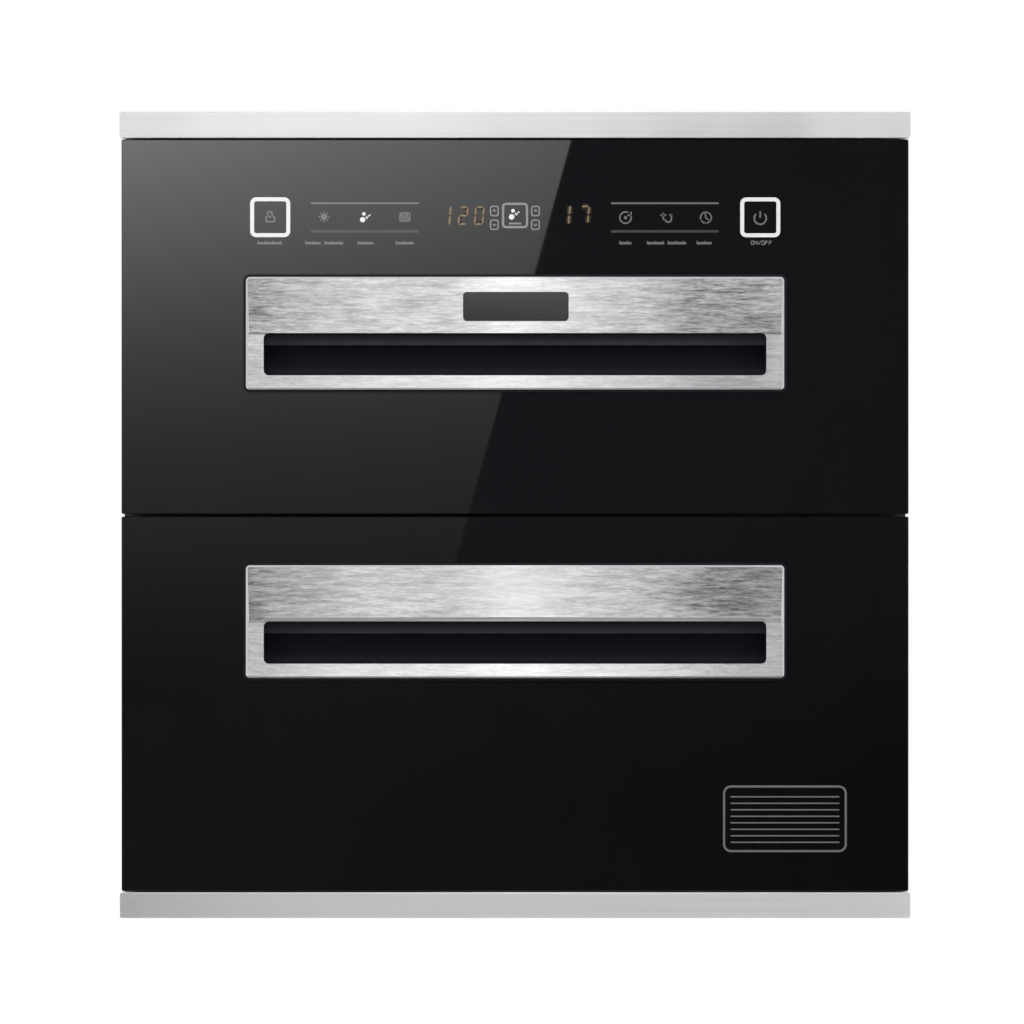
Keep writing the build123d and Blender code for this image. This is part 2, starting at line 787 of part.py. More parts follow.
def heater_reflector():
    """Polished sheet behind the tubes, with its long edges folded forward."""
    low, high = tube_heights()
    half = tube_length / 2
    reach = socket_size / 2 + 2 * reflector_rim
    y0 = chamber_depth - reflector_sheet
    sheet = block(-half, half, y0, chamber_depth, low - reach, high + reach)
    for z, lift in ((low - reach, 1), (high + reach, -1)):
        fold = [
            (y0, z), (chamber_depth, z), (y0 - reflector_rim, z - lift * reflector_rim),
            (y0 - reflector_rim - reflector_sheet, z - lift * reflector_rim),
        ]
        sheet += side_to_side(Polygon(*fold, align=None), -half, half)
    return sheet


def heater_guard():
    """Upright guard wires in front of the tubes, on two cross bars held off the rear wall."""
    low, high = tube_heights()
    half = tube_length / 2 + socket_length + guard_wire
    bar_y = chamber_depth - guard_stand
    wire_y = bar_y - guard_wire
    z0 = low - guard_margin
    z1 = high + guard_margin
    wires = []
    for z in (z0, z1):
        bar = [(-half, chamber_depth, z), (-half, bar_y, z), (half, bar_y, z), (half, chamber_depth, z)]
        wires.append(bent_wire(bar, guard_wire))
    pitch = 2 * (half - guard_margin) / (guard_wires - 1)
    for i in range(guard_wires):
        x = -half + guard_margin + i * pitch
        wires.append(bent_wire([(x, wire_y, z0 - guard_wire), (x, wire_y, z1 + guard_wire)], guard_wire))
    return Compound(children=wires)


# ---- Upper chamber's lamp and hot air

def lamp_place():
    """Y and Z of the ozone lamp's axis."""
    return chamber_depth - lamp_stand, upper_mid + chamber_height / 2 - lamp_drop


def ozone_lamp():
    """Ozone lamp tube across the top of the rear wall."""
    y, z = lamp_place()
    return side_to_side(Pos(y, z) * Circle(lamp_radius), -lamp_length / 2, lamp_length / 2)


def lamp_sockets():
    """Sockets at the lamp's ends, on the rear wall."""
    y, z = lamp_place()
    half = lamp_length / 2
    section = Pos((y - lamp_radius + chamber_depth) / 2, z) * Rectangle(
        chamber_depth - y + lamp_radius, lamp_socket
    )
    cap = side_to_side(section, half, half + lamp_socket / 2)
    return both_sides(cap)


def lamp_guard():
    """Two guard bars in front of the lamp, turned back to the rear wall at both ends."""
    y, z = lamp_place()
    half = lamp_length / 2 + lamp_socket
    bar_y = y - lamp_radius - 2 * guard_wire
    bars = []
    for lift in (-lamp_radius / 2, lamp_radius / 2):
        path = [
            (-half, chamber_depth, z + lift), (-half, bar_y, z + lift),
            (half, bar_y, z + lift), (half, chamber_depth, z + lift),
        ]
        bars.append(bent_wire(path, guard_wire))
    return Compound(children=bars)


def air_grille():
    """Slotted plate over the hot-air opening."""
    y0 = chamber_depth - grille_sheet
    plate = panel(grille_width, grille_height, y0, chamber_depth, upper_mid, grille_margin / 4)
    tall = grille_height - 2 * grille_margin
    for i in range(grille_slots):
        x = (i - (grille_slots - 1) / 2) * grille_pitch
        plate -= Pos(x, y0 + grille_sheet / 2, upper_mid) * Box(grille_slot, grille_sheet, tall)
    return plate


def air_heater():
    """Finned heating element behind the grille."""
    body = Pos(0, liner_back + heater_depth / 2, upper_mid) * Box(duct_width, heater_depth, duct_height)
    for i in range(heater_fins):
        x = (i - (heater_fins - 1) / 2) * heater_fin_pitch
        gap = Box(heater_fin_gap, heater_depth, duct_height - 2 * heater_rim)
        body -= Pos(x, liner_back + heater_depth / 2, upper_mid) * gap
    return body


def fan_housing():
    """Square fan frame with a round bore, and spokes at the rear that carry the motor."""
    y0 = liner_back + heater_depth
    y1 = y0 + fan_depth
    frame = panel(fan_size, fan_size, y0, y1, upper_mid, fan_wall_corner)
    frame -= front_to_back(Pos(0, upper_mid) * RegularPolygon(fan_bore, fan_sides), y0, y1)
    spokes = Rectangle(2 * fan_bore, spoke_width) + Rectangle(spoke_width, 2 * fan_bore)
    spokes += Rot(0, 0, 45) * RegularPolygon(motor_radius, hub_sides)
    return frame + front_to_back(Pos(0, upper_mid) * Rot(0, 0, 45) * spokes, y1 - spoke_depth, y1)


def fan_motor():
    """Hub motor on the spokes, bored for the rotor's shaft."""
    y1 = liner_back + heater_depth + fan_depth - spoke_depth
    ring = RegularPolygon(motor_radius, hub_sides) - Circle(shaft_radius + shaft_clearance)
    return front_to_back(Pos(0, upper_mid) * ring, y1 - motor_depth, y1)


def fan_rotor():
    """Rotor: a hub cup over the motor, its shaft, and pitched blades."""
    y1 = liner_back + heater_depth + fan_depth - spoke_depth - rotor_clearance
    y0 = y1 - rotor_depth
    hub = front_to_back(RegularPolygon(rotor_hub, hub_sides), y0, y1)
    hub -= front_to_back(RegularPolygon(rotor_hub - rotor_hub_wall, hub_sides), y0 + rotor_hub_wall, y1)
    hub += front_to_back(Circle(shaft_radius), y0 + rotor_hub_wall, y1)
    root = rotor_hub - rotor_hub_wall
    reach = rotor_radius - root
    chord = (rotor_depth - 2 * rotor_blade_sheet) / math.sin(math.radians(rotor_pitch))
    for i in range(rotor_blades):
        blade = Pos(0, (y0 + y1) / 2, root + reach / 2) * Rot(0, 0, rotor_pitch)
        hub += Rot(0, i * 360 / rotor_blades, 0) * blade * Box(chord, rotor_blade_sheet, reach)
    return Pos(0, 0, upper_mid) * hub


# ---- Electrical parts

def ozone_generator():
    """Ozone generator behind the upper chamber, with its outlet nozzle on the rear wall."""
    z_mid = upper_mid + chamber_height / 4
    bottom = z_mid - generator_height / 2
    left = generator_x - generator_width / 2
    right = generator_x + generator_width / 2
    nozzle = generator_depth / 3
    front = liner_back + nozzle
    body = block(left, right, front, front + generator_depth, bottom, bottom + generator_height)
    spout = front_to_back(
        Pos(generator_x, z_mid) * RegularPolygon(nozzle / 2, hub_sides), liner_back, front
    )
    foot = block(left, right, liner_back, front, bottom, bottom + case_sheet)
    return body + spout + foot


def board_tray():
    """Moulded tray on the back panel for the power board."""
    y1 = rear_inside
    y0 = y1 - tray_depth
    half = tray_width / 2
    tray = block(-half, half, y0, y1, tray_z - tray_height / 2, tray_z + tray_height / 2)
    inner = half - tray_wall
    low = tray_z - tray_height / 2 + tray_wall
    high = tray_z + tray_height / 2 - tray_wall
    return tray - block(-inner, inner, y0, y1 - tray_wall, low, high)


def power_board():
    """Power board in the tray, with its transformer, relays and capacitor."""
    y1 = rear_inside - tray_wall - board_margin
    y0 = y1 - board_sheet
    half = tray_width / 2 - tray_wall
    tall = tray_height / 2 - tray_wall
    board = block(-half, half, y0, y1, tray_z - tall, tray_z + tall)
    left = -tray_width / 3
    board += block(
        left, left + transformer_width, y0 - transformer_height, y0,
        tray_z - transformer_width / 2, tray_z + transformer_width / 2,
    )
    low = tray_z + relay_lift
    for i in range(3):
        x = i * relay_pitch
        board += block(x, x + relay_width, y0 - relay_height, y0, low, low + relay_length)
    can = Pos(capacitor_x, tray_z - capacitor_drop) * RegularPolygon(capacitor_radius, hub_sides)
    return board + front_to_back(can, y0 - capacitor_height, y0)


def mains_gland():
    """Cable gland in the back panel: a flatted barrel and a hexagonal collar, bored for a mains lead."""
    y1 = case_depth + gland_collar
    gland = front_to_back(gland_outline(), y1 - gland_length, y1)
    gland += front_to_back(RegularPolygon(gland_collar_radius, 6), case_depth, y1)
    return Pos(gland_x, 0, gland_z) * (gland - front_to_back(Circle(gland_bore), y1 - gland_length, y1))


def thermal_cutouts():
    """Round thermal cut-outs on the rear walls of both chambers."""
    disc = RegularPolygon(cutout_radius, hub_sides)
    upper = front_to_back(Pos(duct_width, upper_mid) * disc, liner_back, liner_back + cutout_depth)
    lower = front_to_back(Pos(0, lower_mid) * disc, liner_back, liner_back + cutout_depth)
    return Compound(children=[upper, lower])


def door_sensors():
    """Reed sensors behind the front frame, opposite the magnets."""
    x_mid = shell_half - case_sheet - sensor_width / 2 - case_sheet
    sensors = []
    for glass_mid in (lower_mid, upper_mid):
        z_mid = chamber_bottom(glass_mid) + chamber_height - sensor_drop
        sensors.append(Pos(x_mid, sensor_depth / 2, z_mid) * Box(sensor_width, sensor_depth, sensor_height))
    return Compound(children=sensors)


def drawer(name, glass_mid, drop, tine_rows, tine_height):
    """Every piece of one drawer, its slides and its seal, by name."""
    return {
        name + "_glass": glass(glass_mid, drop),
        name + "_door_pan": door_pan(glass_mid),
        name + "_handle_cup": handle_cup(glass_mid, drop),
        name + "_handle_plate": handle_plate(glass_mid, drop),
        name + "_door_seal": door_seal(glass_mid),
        name + "_door_magnet": door_magnet(glass_mid),
        name + "_side_rails": side_rails(glass_mid),
        name + "_rack": rack(glass_mid, tine_rows, tine_height),
        name + "_slide_outers": slide_member(0, glass_mid),
        name + "_slide_middles": slide_member(1, glass_mid),
        name + "_slide_inners": slide_member(2, glass_mid),
        name + "_outer_ball_cages": ball_cage(0, glass_mid),
        name + "_inner_ball_cages": ball_cage(1, glass_mid),
    }


def cabinet():
    """Every piece of the cabinet, by name."""
    pieces = {
        "case_wrap": case_wrap(),
        "base_pan": base_pan(),
        "back_panel": back_panel(),
        "feet": feet(),
        "face_frame": face_frame(),
        "top_trim": trim(face_top - trim_height),
        "bottom_trim": trim(face_lift),
        "upper_liner": upper_liner(),
        "lower_liner": liner(lower_mid),
        "lower_insulation": lower_insulation(),
        "upper_door_core": upper_door_core(),
        "lower_door_core": door_core(lower_mid, lower_handle_drop),
        "control_tray": control_tray(),
        "control_board": control_board(),
        "display_module": display_module(),
        "heater_tubes": heater_tubes(),
        "heater_sockets": heater_sockets(),
        "heater_reflector": heater_reflector(),
        "heater_guard": heater_guard(),
        "ozone_lamp": ozone_lamp(),
        "lamp_sockets": lamp_sockets(),
        "lamp_guard": lamp_guard(),
        "air_grille": air_grille(),
        "air_heater": air_heater(),
        "fan_housing": fan_housing(),
        "fan_motor": fan_motor(),
        "fan_rotor": fan_rotor(),
        "ozone_generator": ozone_generator(),
        "board_tray": board_tray(),
        "power_board": power_board(),
        "mains_gland": mains_gland(),
        "thermal_cutouts": thermal_cutouts(),
        "door_sensors": door_sensors(),
    }
    pieces.update(drawer("upper", upper_mid, upper_handle_drop, upper_tine_rows, upper_tine_height))
    pieces.update(drawer("lower", lower_mid, lower_handle_drop, lower_tine_rows, lower_tine_height))
    return pieces


for node, shape in cabinet().items():
    export_step(shape, f"parts/{node}.step")
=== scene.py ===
import json
import math

import bmesh
import bpy
import numpy as np
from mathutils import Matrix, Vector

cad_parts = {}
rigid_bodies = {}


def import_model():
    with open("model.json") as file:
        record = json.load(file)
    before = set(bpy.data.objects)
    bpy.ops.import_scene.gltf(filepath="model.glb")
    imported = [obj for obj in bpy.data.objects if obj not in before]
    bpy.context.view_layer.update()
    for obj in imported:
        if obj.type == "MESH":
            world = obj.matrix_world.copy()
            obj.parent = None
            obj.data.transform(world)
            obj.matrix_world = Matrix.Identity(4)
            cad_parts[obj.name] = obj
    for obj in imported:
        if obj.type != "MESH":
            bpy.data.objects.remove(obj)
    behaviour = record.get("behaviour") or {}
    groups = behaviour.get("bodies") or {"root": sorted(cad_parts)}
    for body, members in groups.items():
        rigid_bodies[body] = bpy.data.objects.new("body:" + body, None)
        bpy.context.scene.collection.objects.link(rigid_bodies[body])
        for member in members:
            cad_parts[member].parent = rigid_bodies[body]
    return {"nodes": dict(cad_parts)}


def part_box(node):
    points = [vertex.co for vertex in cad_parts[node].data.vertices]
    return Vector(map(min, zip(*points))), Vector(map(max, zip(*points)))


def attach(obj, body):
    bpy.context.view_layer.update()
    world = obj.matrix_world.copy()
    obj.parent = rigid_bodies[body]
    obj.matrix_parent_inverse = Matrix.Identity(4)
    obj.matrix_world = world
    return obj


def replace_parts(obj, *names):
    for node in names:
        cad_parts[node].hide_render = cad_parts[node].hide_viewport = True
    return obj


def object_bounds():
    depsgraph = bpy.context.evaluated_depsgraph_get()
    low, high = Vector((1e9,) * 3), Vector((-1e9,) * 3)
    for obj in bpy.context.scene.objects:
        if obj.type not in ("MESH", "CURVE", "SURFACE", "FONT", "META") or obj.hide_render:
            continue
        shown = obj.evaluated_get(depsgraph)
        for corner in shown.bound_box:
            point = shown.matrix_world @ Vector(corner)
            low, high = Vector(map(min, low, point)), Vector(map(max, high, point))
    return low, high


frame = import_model()
nodes = frame["nodes"]
cad_low, cad_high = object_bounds()

# ---- Camera
# A long lens, square to the drawer fronts and level with their middle, as in a product picture. It shows
# 776.5 mm at the face of the trims, and the cabinet sits 2.3 mm to the right and 3 mm under its middle.

lens_length = 200.0
sensor_size = 36.0
picture_width = 0.7765
picture_right = -0.0023
picture_rise = 0.003
trim_face = -0.0292

camera_data = bpy.data.cameras.new("long_lens")
camera_data.lens = lens_length
camera_data.sensor_width = sensor_size
camera_data.clip_end = 60.0
camera = bpy.data.objects.new("long_lens", camera_data)
scene_objects = bpy.context.scene.collection.objects
scene_objects.link(camera)
camera_distance = picture_width * lens_length / sensor_size
camera_height = (cad_low.z + cad_high.z) / 2 + picture_rise
camera.location = (picture_right, trim_face - camera_distance, camera_height)
camera.rotation_euler = (math.pi / 2, 0, 0)
bpy.context.scene.camera = camera

# ---- Studio
# A white floor that keeps the shadow, a white surround, soft lamps above and in front, dark cards that keep
# the glass black, a slanted soft window that only the glass shows, and a small soft lamp for each bright
# metal part, where a photographer sets a white reflector. Sizes here are in metres.


def feed(made, *feeds):
    """Feeds sockets of a node with numbers, colours, greys or other nodes' outputs."""
    for key, value in feeds:
        socket = made.inputs[key]
        if isinstance(value, bpy.types.NodeSocket):
            made.id_data.links.new(value, socket)
        elif socket.type == "RGBA":
            socket.default_value = (*np.broadcast_to(value, 3).tolist(), 1)
        else:
            socket.default_value = value


def node(tree, kind, *feeds, **settings):
    """A shader node with its own settings, and feeds as (socket, what goes in)."""
    made = tree.nodes.new("ShaderNode" + kind)
    for key, value in settings.items():
        setattr(made, key, value)
    feed(made, *feeds)
    return made


def maths(tree, operation, *terms):
    """The outcome of one sum of numbers or outputs."""
    return node(tree, "Math", *enumerate(terms), operation=operation).outputs[0]


def ramp(tree, value, start=0.0, stop=1.0, low=0.0, high=1.0):
    """A value on a straight line, low at start, high at stop and level beyond them."""
    line = {"From Min": start, "From Max": stop, "To Min": low, "To Max": high}
    return node(tree, "MapRange", ("Value", value), *line.items()).outputs[0]


def between(tree, share, first, second):
    """A number between two numbers or outputs, by a share."""
    return node(tree, "Mix", ("Factor", share), ("A", first), ("B", second), data_type="FLOAT").outputs[0]


def blend(tree, share, first, second):
    """A colour between two colours, greys or outputs, by a share."""
    return node(tree, "Mix", (0, share), (6, first), (7, second), data_type="RGBA").outputs[2]


def drawn_curve(tree, value, points):
    """A value read off a curve drawn through points, from 0 to 1."""
    drawn = node(tree, "FloatCurve", ("Value", value))
    curve = drawn.mapping.curves[0]
    curve.points[0].location, curve.points[1].location = points[0], points[-1]
    for place, level in points[1:-1]:
        curve.points.new(place, level)
    drawn.mapping.update()
    return drawn.outputs[0]


def places(tree):
    """Each point's place, in metres."""
    return node(tree, "TexCoord").outputs["Object"]


def split(tree, value):
    """The X, Y and Z of a vector."""
    return node(tree, "SeparateXYZ", (0, value)).outputs


def seen_plainly(tree):
    """1 for rays from the camera, off gloss or through glass, and 0 for the light that falls on things."""
    path = node(tree, "LightPath").outputs
    either = maths(tree, "MAXIMUM", path["Is Camera Ray"], path["Is Glossy Ray"])
    return maths(tree, "MAXIMUM", either, path["Is Transmission Ray"])


def material(name):
    """A new material, its node tree and its shader."""
    made = bpy.data.materials.new(name)
    made.use_nodes = True
    return made, made.node_tree, made.node_tree.nodes["Principled BSDF"]


def card(name, corners, skin):
    """A flat sheet of the studio through its corners."""
    mesh = bpy.data.meshes.new(name)
    mesh.from_pydata(corners, [], [list(range(len(corners)))])
    mesh.materials.append(skin)
    made = bpy.data.objects.new(name, mesh)
    scene_objects.link(made)
    return made


def wide_corners(half, first, second):
    """The corners of a sheet between two edges along X, each edge given by its (y, z)."""
    return [(-half, *first), (half, *first), (half, *second), (-half, *second)]


def glossy_only(made):
    """Leaves a card in reflections alone."""
    made.visible_camera = made.visible_diffuse = made.visible_shadow = False
    made.visible_transmission = made.visible_volume_scatter = False


def light_only(giver, name, *lit):
    """Keeps the light of a lamp or card to some pieces."""
    chosen = bpy.data.collections.new(name)
    for lit_name in lit:
        chosen.objects.link(nodes[lit_name])
    giver.light_linking.receiver_collection = chosen
    return chosen


def lamp(name, place, target, size, watts, *lit):
    """A soft rectangular lamp turned to a target, and kept to some pieces where they are named."""
    light = bpy.data.lights.new(name, "AREA")
    light.shape = "RECTANGLE"
    light.size, light.size_y = size
    light.energy = watts
    stand = bpy.data.objects.new(name, light)
    stand.location = place
    aim = np.array(target) - np.array(place)
    stand.rotation_euler = (
        math.atan2(math.hypot(aim[0], aim[1]), -aim[2]), 0, math.atan2(aim[1], aim[0]) - math.pi / 2
    )
    stand.visible_camera = False
    scene_objects.link(stand)
    if lit:
        light_only(stand, name + "_only", *lit)


surround_light = 0.42
world = bpy.data.worlds.new("white_surround")
world.use_nodes = True
bpy.context.scene.world = world
surround = world.node_tree
surround_level = ramp(surround, seen_plainly(surround), low=surround_light)
feed(surround.nodes["Background"], ("Strength", surround_level), ("Color", 1.0))

floor_half = 30.0
floor_glow = 0.68
floor_white, paper, paper_shader = material("floor_white")
feed(
    paper_shader, ("Base Color", 0.8), ("Roughness", 0.9), ("Specular IOR Level", 0.0),
    ("Emission Color", 1.0), ("Emission Strength", ramp(paper, seen_plainly(paper), high=floor_glow)),
)
card("floor", wide_corners(floor_half, (-floor_half, 0), (floor_half, 0)), floor_white)

card_reach = 1.02
card_side = 0.44
card_top = 0.74
card_lift = 0.0005
card_stop = trim_face - 0.002
front_y = cad_low.y - card_reach
card_grey, greyed, card_shader = material("card_grey")
card_x, _, card_z = split(greyed, places(greyed))
foot_glow = ramp(greyed, card_x, -0.36, 0.36, 0.085, 0.0)
top_glow = ramp(greyed, card_x, -0.05, 0.44, 0.125, 0.079)
card_rise = ramp(greyed, card_z, 0.04, 0.30)
feed(
    card_shader, ("Base Color", 0.0), ("Specular IOR Level", 0.0),
    ("Emission Color", blend(greyed, card_rise, 1.0, (0.75, 0.82, 1.0))),
    ("Emission Strength", between(greyed, card_rise, foot_glow, top_glow)),
)
for name, first, second in (
    ("dark_front", (front_y, 0.0), (front_y, card_top)),
    ("dark_floor", (front_y, card_lift), (card_stop, card_lift)),
):
    glossy_only(card(name, wide_corners(card_side, first, second), card_grey))

window_left = -0.42
window_foot = 0.13
window_top = 0.70
window_y = front_y + 0.01
window_slant = 0.27
slant_low = (-0.0554, 0.2645)
slant_high = (0.0536, 0.6592)
window_strength = 4.0
window_levels = (
    (0.0, 0.024), (0.17, 0.050), (0.29, 0.088), (0.38, 0.117), (0.46, 0.155), (0.56, 0.232), (0.65, 0.33),
    (0.78, 0.54), (1.0, 1.0),
)
window_light, glow, spare_shader = material("window_light")
glow.nodes.remove(spare_shader)
window_x, _, window_z = split(glow, places(glow))
rise = ramp(glow, window_z, window_foot, 0.66)
across = ramp(glow, window_x, window_left, slant_high[0], 1.10, 0.54)
evened = between(glow, rise, 0.85, across)
window_level = maths(glow, "MULTIPLY", drawn_curve(glow, rise, window_levels), evened)
window_power = maths(glow, "MULTIPLY", window_level, window_strength)
window_shine = node(glow, "Emission", ("Color", (0.97, 0.97, 1.0)), ("Strength", window_power))
feed(glow.nodes["Material Output"], ("Surface", window_shine.outputs[0]))
window = card("slanted_window", [
    (window_left, window_y, window_foot),
    (slant_low[0] - window_slant * (slant_low[1] - window_foot), window_y, window_foot),
    (slant_high[0] + window_slant * (window_top - slant_high[1]), window_y, window_top),
    (window_left, window_y, window_top),
], window_light)
glossy_only(window)
glass_only = light_only(window, "glass_only", "upper_glass", "lower_glass")

cabinet_middle = (0.0, 0.0, 0.3)
reflector_y = front_y + 0.03
lamp("lamp_above", (0.0, -1.5, 2.0), cabinet_middle, (1.1, 0.9), 26.0)
lamp("lamp_left", (-1.9, -1.7, 1.3), cabinet_middle, (0.9, 1.2), 12.0)
lamp("lamp_right", (1.9, -1.7, 1.3), cabinet_middle, (0.9, 1.2), 9.0)
for name, x, z, size, watts, lit in (
    ("upper_plate_lamp", -0.065, 0.37, (0.34, 0.22), 0.40, "upper_handle_plate"),
    ("lower_plate_lamp", -0.012, 0.12, (0.42, 0.22), 0.75, "lower_handle_plate"),
    ("top_trim_lamp", -0.17, 0.67, (0.40, 0.20), 0.29, "top_trim"),
    ("foot_trim_lamp", 0.15, 0.11, (1.00, 0.20), 1.60, "bottom_trim"),
):
    lamp(name, (x, reflector_y, z), (x, 0.0, z), size, watts, lit)
for name in ("upper", "lower"):
    lit = name + "_handle_plate"
    lamp(name + "_bevel_lamp", (0.0, -0.20, 0.02), (0.0, -0.2001, 1.0), (0.8, 0.3), 0.5, lit)

# ---- Case
# Galvanised steel sheet: a wrap over the top and sides, a base pan and a back panel with louvre hoods. The
# sheet has the leafy spangle of hot-dip zinc, and pan-head screws hold the wrap to its turned edges. Shapes
# are in millimetres from here on.


def pattern(name, numbers):
    """An empty node group with a vector and named numbers in, and a mask and a height out."""
    group = bpy.data.node_groups.new(name, "ShaderNodeTree")
    group.interface.new_socket(name="Vector", in_out="INPUT", socket_type="NodeSocketVector")
    for label, value in numbers.items():
        socket = group.interface.new_socket(name=label, in_out="INPUT", socket_type="NodeSocketFloat")
        socket.default_value = value
    for label in ("Mask", "Height"):
        group.interface.new_socket(name=label, in_out="OUTPUT", socket_type="NodeSocketFloat")
    return group, group.nodes.new("NodeGroupInput").outputs, group.nodes.new("NodeGroupOutput")


def noise(tree, place, scale, detail=3.0, roughness=0.5, distortion=0.0):
    """Smooth noise between 0 and 1, its scale in lumps per metre."""
    return node(
        tree, "TexNoise", ("Vector", place), ("Scale", scale), ("Detail", detail), ("Roughness", roughness),
        ("Distortion", distortion),
    ).outputs["Fac"]


handling, given, gives = pattern("handling", {"Scale": 9.0})
streaky = node(handling, "Mapping", ("Vector", given["Vector"]), ("Scale", (1.0, 1.0, 0.55)))
marks = noise(handling, streaky.outputs[0], given["Scale"], 5.0, 0.62)
feed(gives, ("Mask", ramp(handling, marks, 0.32, 0.7)), ("Height", marks))

spangle, given, gives = pattern("spangle", {"Scale": 55.0})
lumps = node(spangle, "TexNoise", ("Vector", given["Vector"]), ("Scale", 120.0), ("Detail", 2.0))
lump_colour = lumps.outputs["Color"]
shift = node(spangle, "VectorMath", (0, lump_colour), ("Scale", 0.006), operation="SCALE").outputs[0]
warped = node(spangle, "VectorMath", (0, given["Vector"]), (1, shift), operation="ADD").outputs[0]
leaves = node(spangle, "TexVoronoi", ("Vector", warped), ("Scale", given["Scale"]))
leaf_shade = node(spangle, "SeparateColor", (0, leaves.outputs["Color"])).outputs
feed(gives, ("Mask", leaf_shade[0]), ("Height", leaf_shade[1]))


def grained(tree, grain, place, *sizes):
    """What a pattern gives at a place, with its own numbers in their order."""
    return node(tree, "Group", (0, place), *enumerate(sizes, 1), node_tree=grain).outputs


def coat(name, dark, light, grain, sizes, rough, bump=0.2, depth=0.0001, metallic=0.0, plain=()):
    """A finish: the grain's mask blends dark to light, its height feeds the bump, and handling marks move
    the roughness between two values. Plain values go to the shader's own sockets."""
    made, tree, shader = material(name)
    place = places(tree)
    cut = grained(tree, grain, place, *np.atleast_1d(sizes).tolist())
    worn = grained(tree, handling, place)["Mask"]
    relief = node(tree, "Bump", ("Height", cut["Height"]), ("Strength", bump), ("Distance", depth))
    feed(
        shader, ("Base Color", blend(tree, cut["Mask"], dark, light)), ("Metallic", metallic),
        ("Roughness", ramp(tree, worn, low=rough[0], high=rough[1])), ("Normal", relief.outputs[0]),
        *dict(plain).items(),
    )
    return made


def metal(*terms, **more):
    """A finish of bare metal."""
    return coat(*terms, metallic=1.0, **more)


def dress(skin, *names):
    """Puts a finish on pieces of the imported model."""
    for name in names:
        for held in nodes[name].material_slots:
            held.material = skin


def both(*names):
    """The names of pieces that both drawers have."""
    return [level + "_" + name for name in names for level in ("upper", "lower")]


def joined(*axes):
    """Arrays spread out to one shape and joined item by item, such as points from their coordinates."""
    return np.stack(np.broadcast_arrays(*axes), -1)


def rows_of_faces(rows, columns, round_rows=False, round_columns=True):
    """The four corners of each face of a grid of points, numbered row by row, joined round where asked."""
    row = np.arange(rows if round_rows else rows - 1)[:, None]
    column = np.arange(columns if round_columns else columns - 1)[None, :]
    below, beside = (row + 1) % rows, (column + 1) % columns
    here, next_row = row * columns, below * columns
    corners = joined(here + column, here + beside, next_row + beside, next_row + column)
    return corners.reshape(-1, 4)


def swept(grid, round_rows=False):
    """A part of a piece from rows of points that each go round. The rows are joined, and the first and last
    are closed by flat end faces or joined to each other."""
    rows, columns = grid.shape[:2]
    caps = [] if round_rows else [np.arange(columns)[::-1], np.arange(columns) + (rows - 1) * columns]
    return grid.reshape(-1, 3), rows_of_faces(rows, columns, round_rows), caps


crease = 35.0


def piece(name, parts, skin, body, closed=True):
    """A finished piece: parts are (points, four-cornered faces, end faces), joined in one mesh, smooth but
    for its sharper edges. Closed parts get their faces turned outwards."""
    grids, faces, caps = zip(*parts)
    starts = np.cumsum([0] + [len(points) for points in grids])
    corners = np.concatenate([four + start for four, start in zip(faces, starts)])
    ends = [(end + start).tolist() for part, start in zip(caps, starts) for end in part]
    mesh = bpy.data.meshes.new(name)
    mesh.from_pydata((np.concatenate(grids) / 1000).tolist(), [], corners.tolist() + ends)
    if closed:
        shell = bmesh.new()
        shell.from_mesh(mesh)
        bmesh.ops.recalc_face_normals(shell, faces=shell.faces)
        shell.to_mesh(mesh)
        shell.free()
    mesh.shade_smooth()
    mesh.set_sharp_from_angle(angle=math.radians(crease))
    mesh.materials.append(skin)
    made = bpy.data.objects.new(name, mesh)
    scene_objects.link(made)
    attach(made, body)
    return made


aside, onward, upward = np.eye(3)
facing = {
    "+X": (onward, upward, aside), "-X": (onward, upward, -aside), "+Y": (aside, upward, onward),
    "+Z": (aside, onward, upward),
}


def full_turn(steps):
    """Angles all the way round."""
    return np.linspace(0, 2 * np.pi, steps, endpoint=False)


def unit(vectors):
    """Vectors brought to length 1."""
    return vectors / np.linalg.norm(vectors, axis=-1, keepdims=True)


def placed(x, y, height, centre, way):
    """Points of a form made flat on its back, put at a centre with its height facing a way."""
    return joined(x, y, height) @ np.array(facing[way]) + centre


def screw_head(centre, way, radius=3.9, height=2.1, slot_half=0.55):
    """A pan head on rings and spokes: a dome, less a cross-shaped recess that deepens to the middle."""
    ring = radius * np.array([0.04, 0.12, 0.22, 0.34, 0.46, 0.58, 0.72, 0.86, 0.96, 1.0, 1.0])[:, None]
    spoke = full_turn(32)
    x, y = ring * np.cos(spoke), ring * np.sin(spoke)
    dome = height * np.sqrt(np.clip(1 - (ring / (1.12 * radius)) ** 4, 0, 1))
    narrow = np.minimum(np.abs(x), np.abs(y))
    wide = np.maximum(np.abs(x), np.abs(y))
    cross = np.clip((slot_half - narrow) / 0.2, 0, 1) * np.clip((0.55 * radius - wide) / 0.3, 0, 1)
    dome = dome - 0.55 * height * cross * (1 - 0.5 * wide / radius)
    dome[-1] = 0
    return swept(placed(x, y, dome, centre, way))


galvanised = coat(
    "galvanised_sheet", (0.40, 0.413, 0.426), (0.50, 0.513, 0.526), spangle, 105.0, (0.62, 0.76), 0.12,
    metallic=0.75,
)
screw_zinc = metal("screw_zinc", (0.50, 0.51, 0.53), (0.66, 0.67, 0.69), handling, 300.0, (0.25, 0.45), 0.1)
dress(galvanised, "case_wrap", "base_pan", "back_panel")

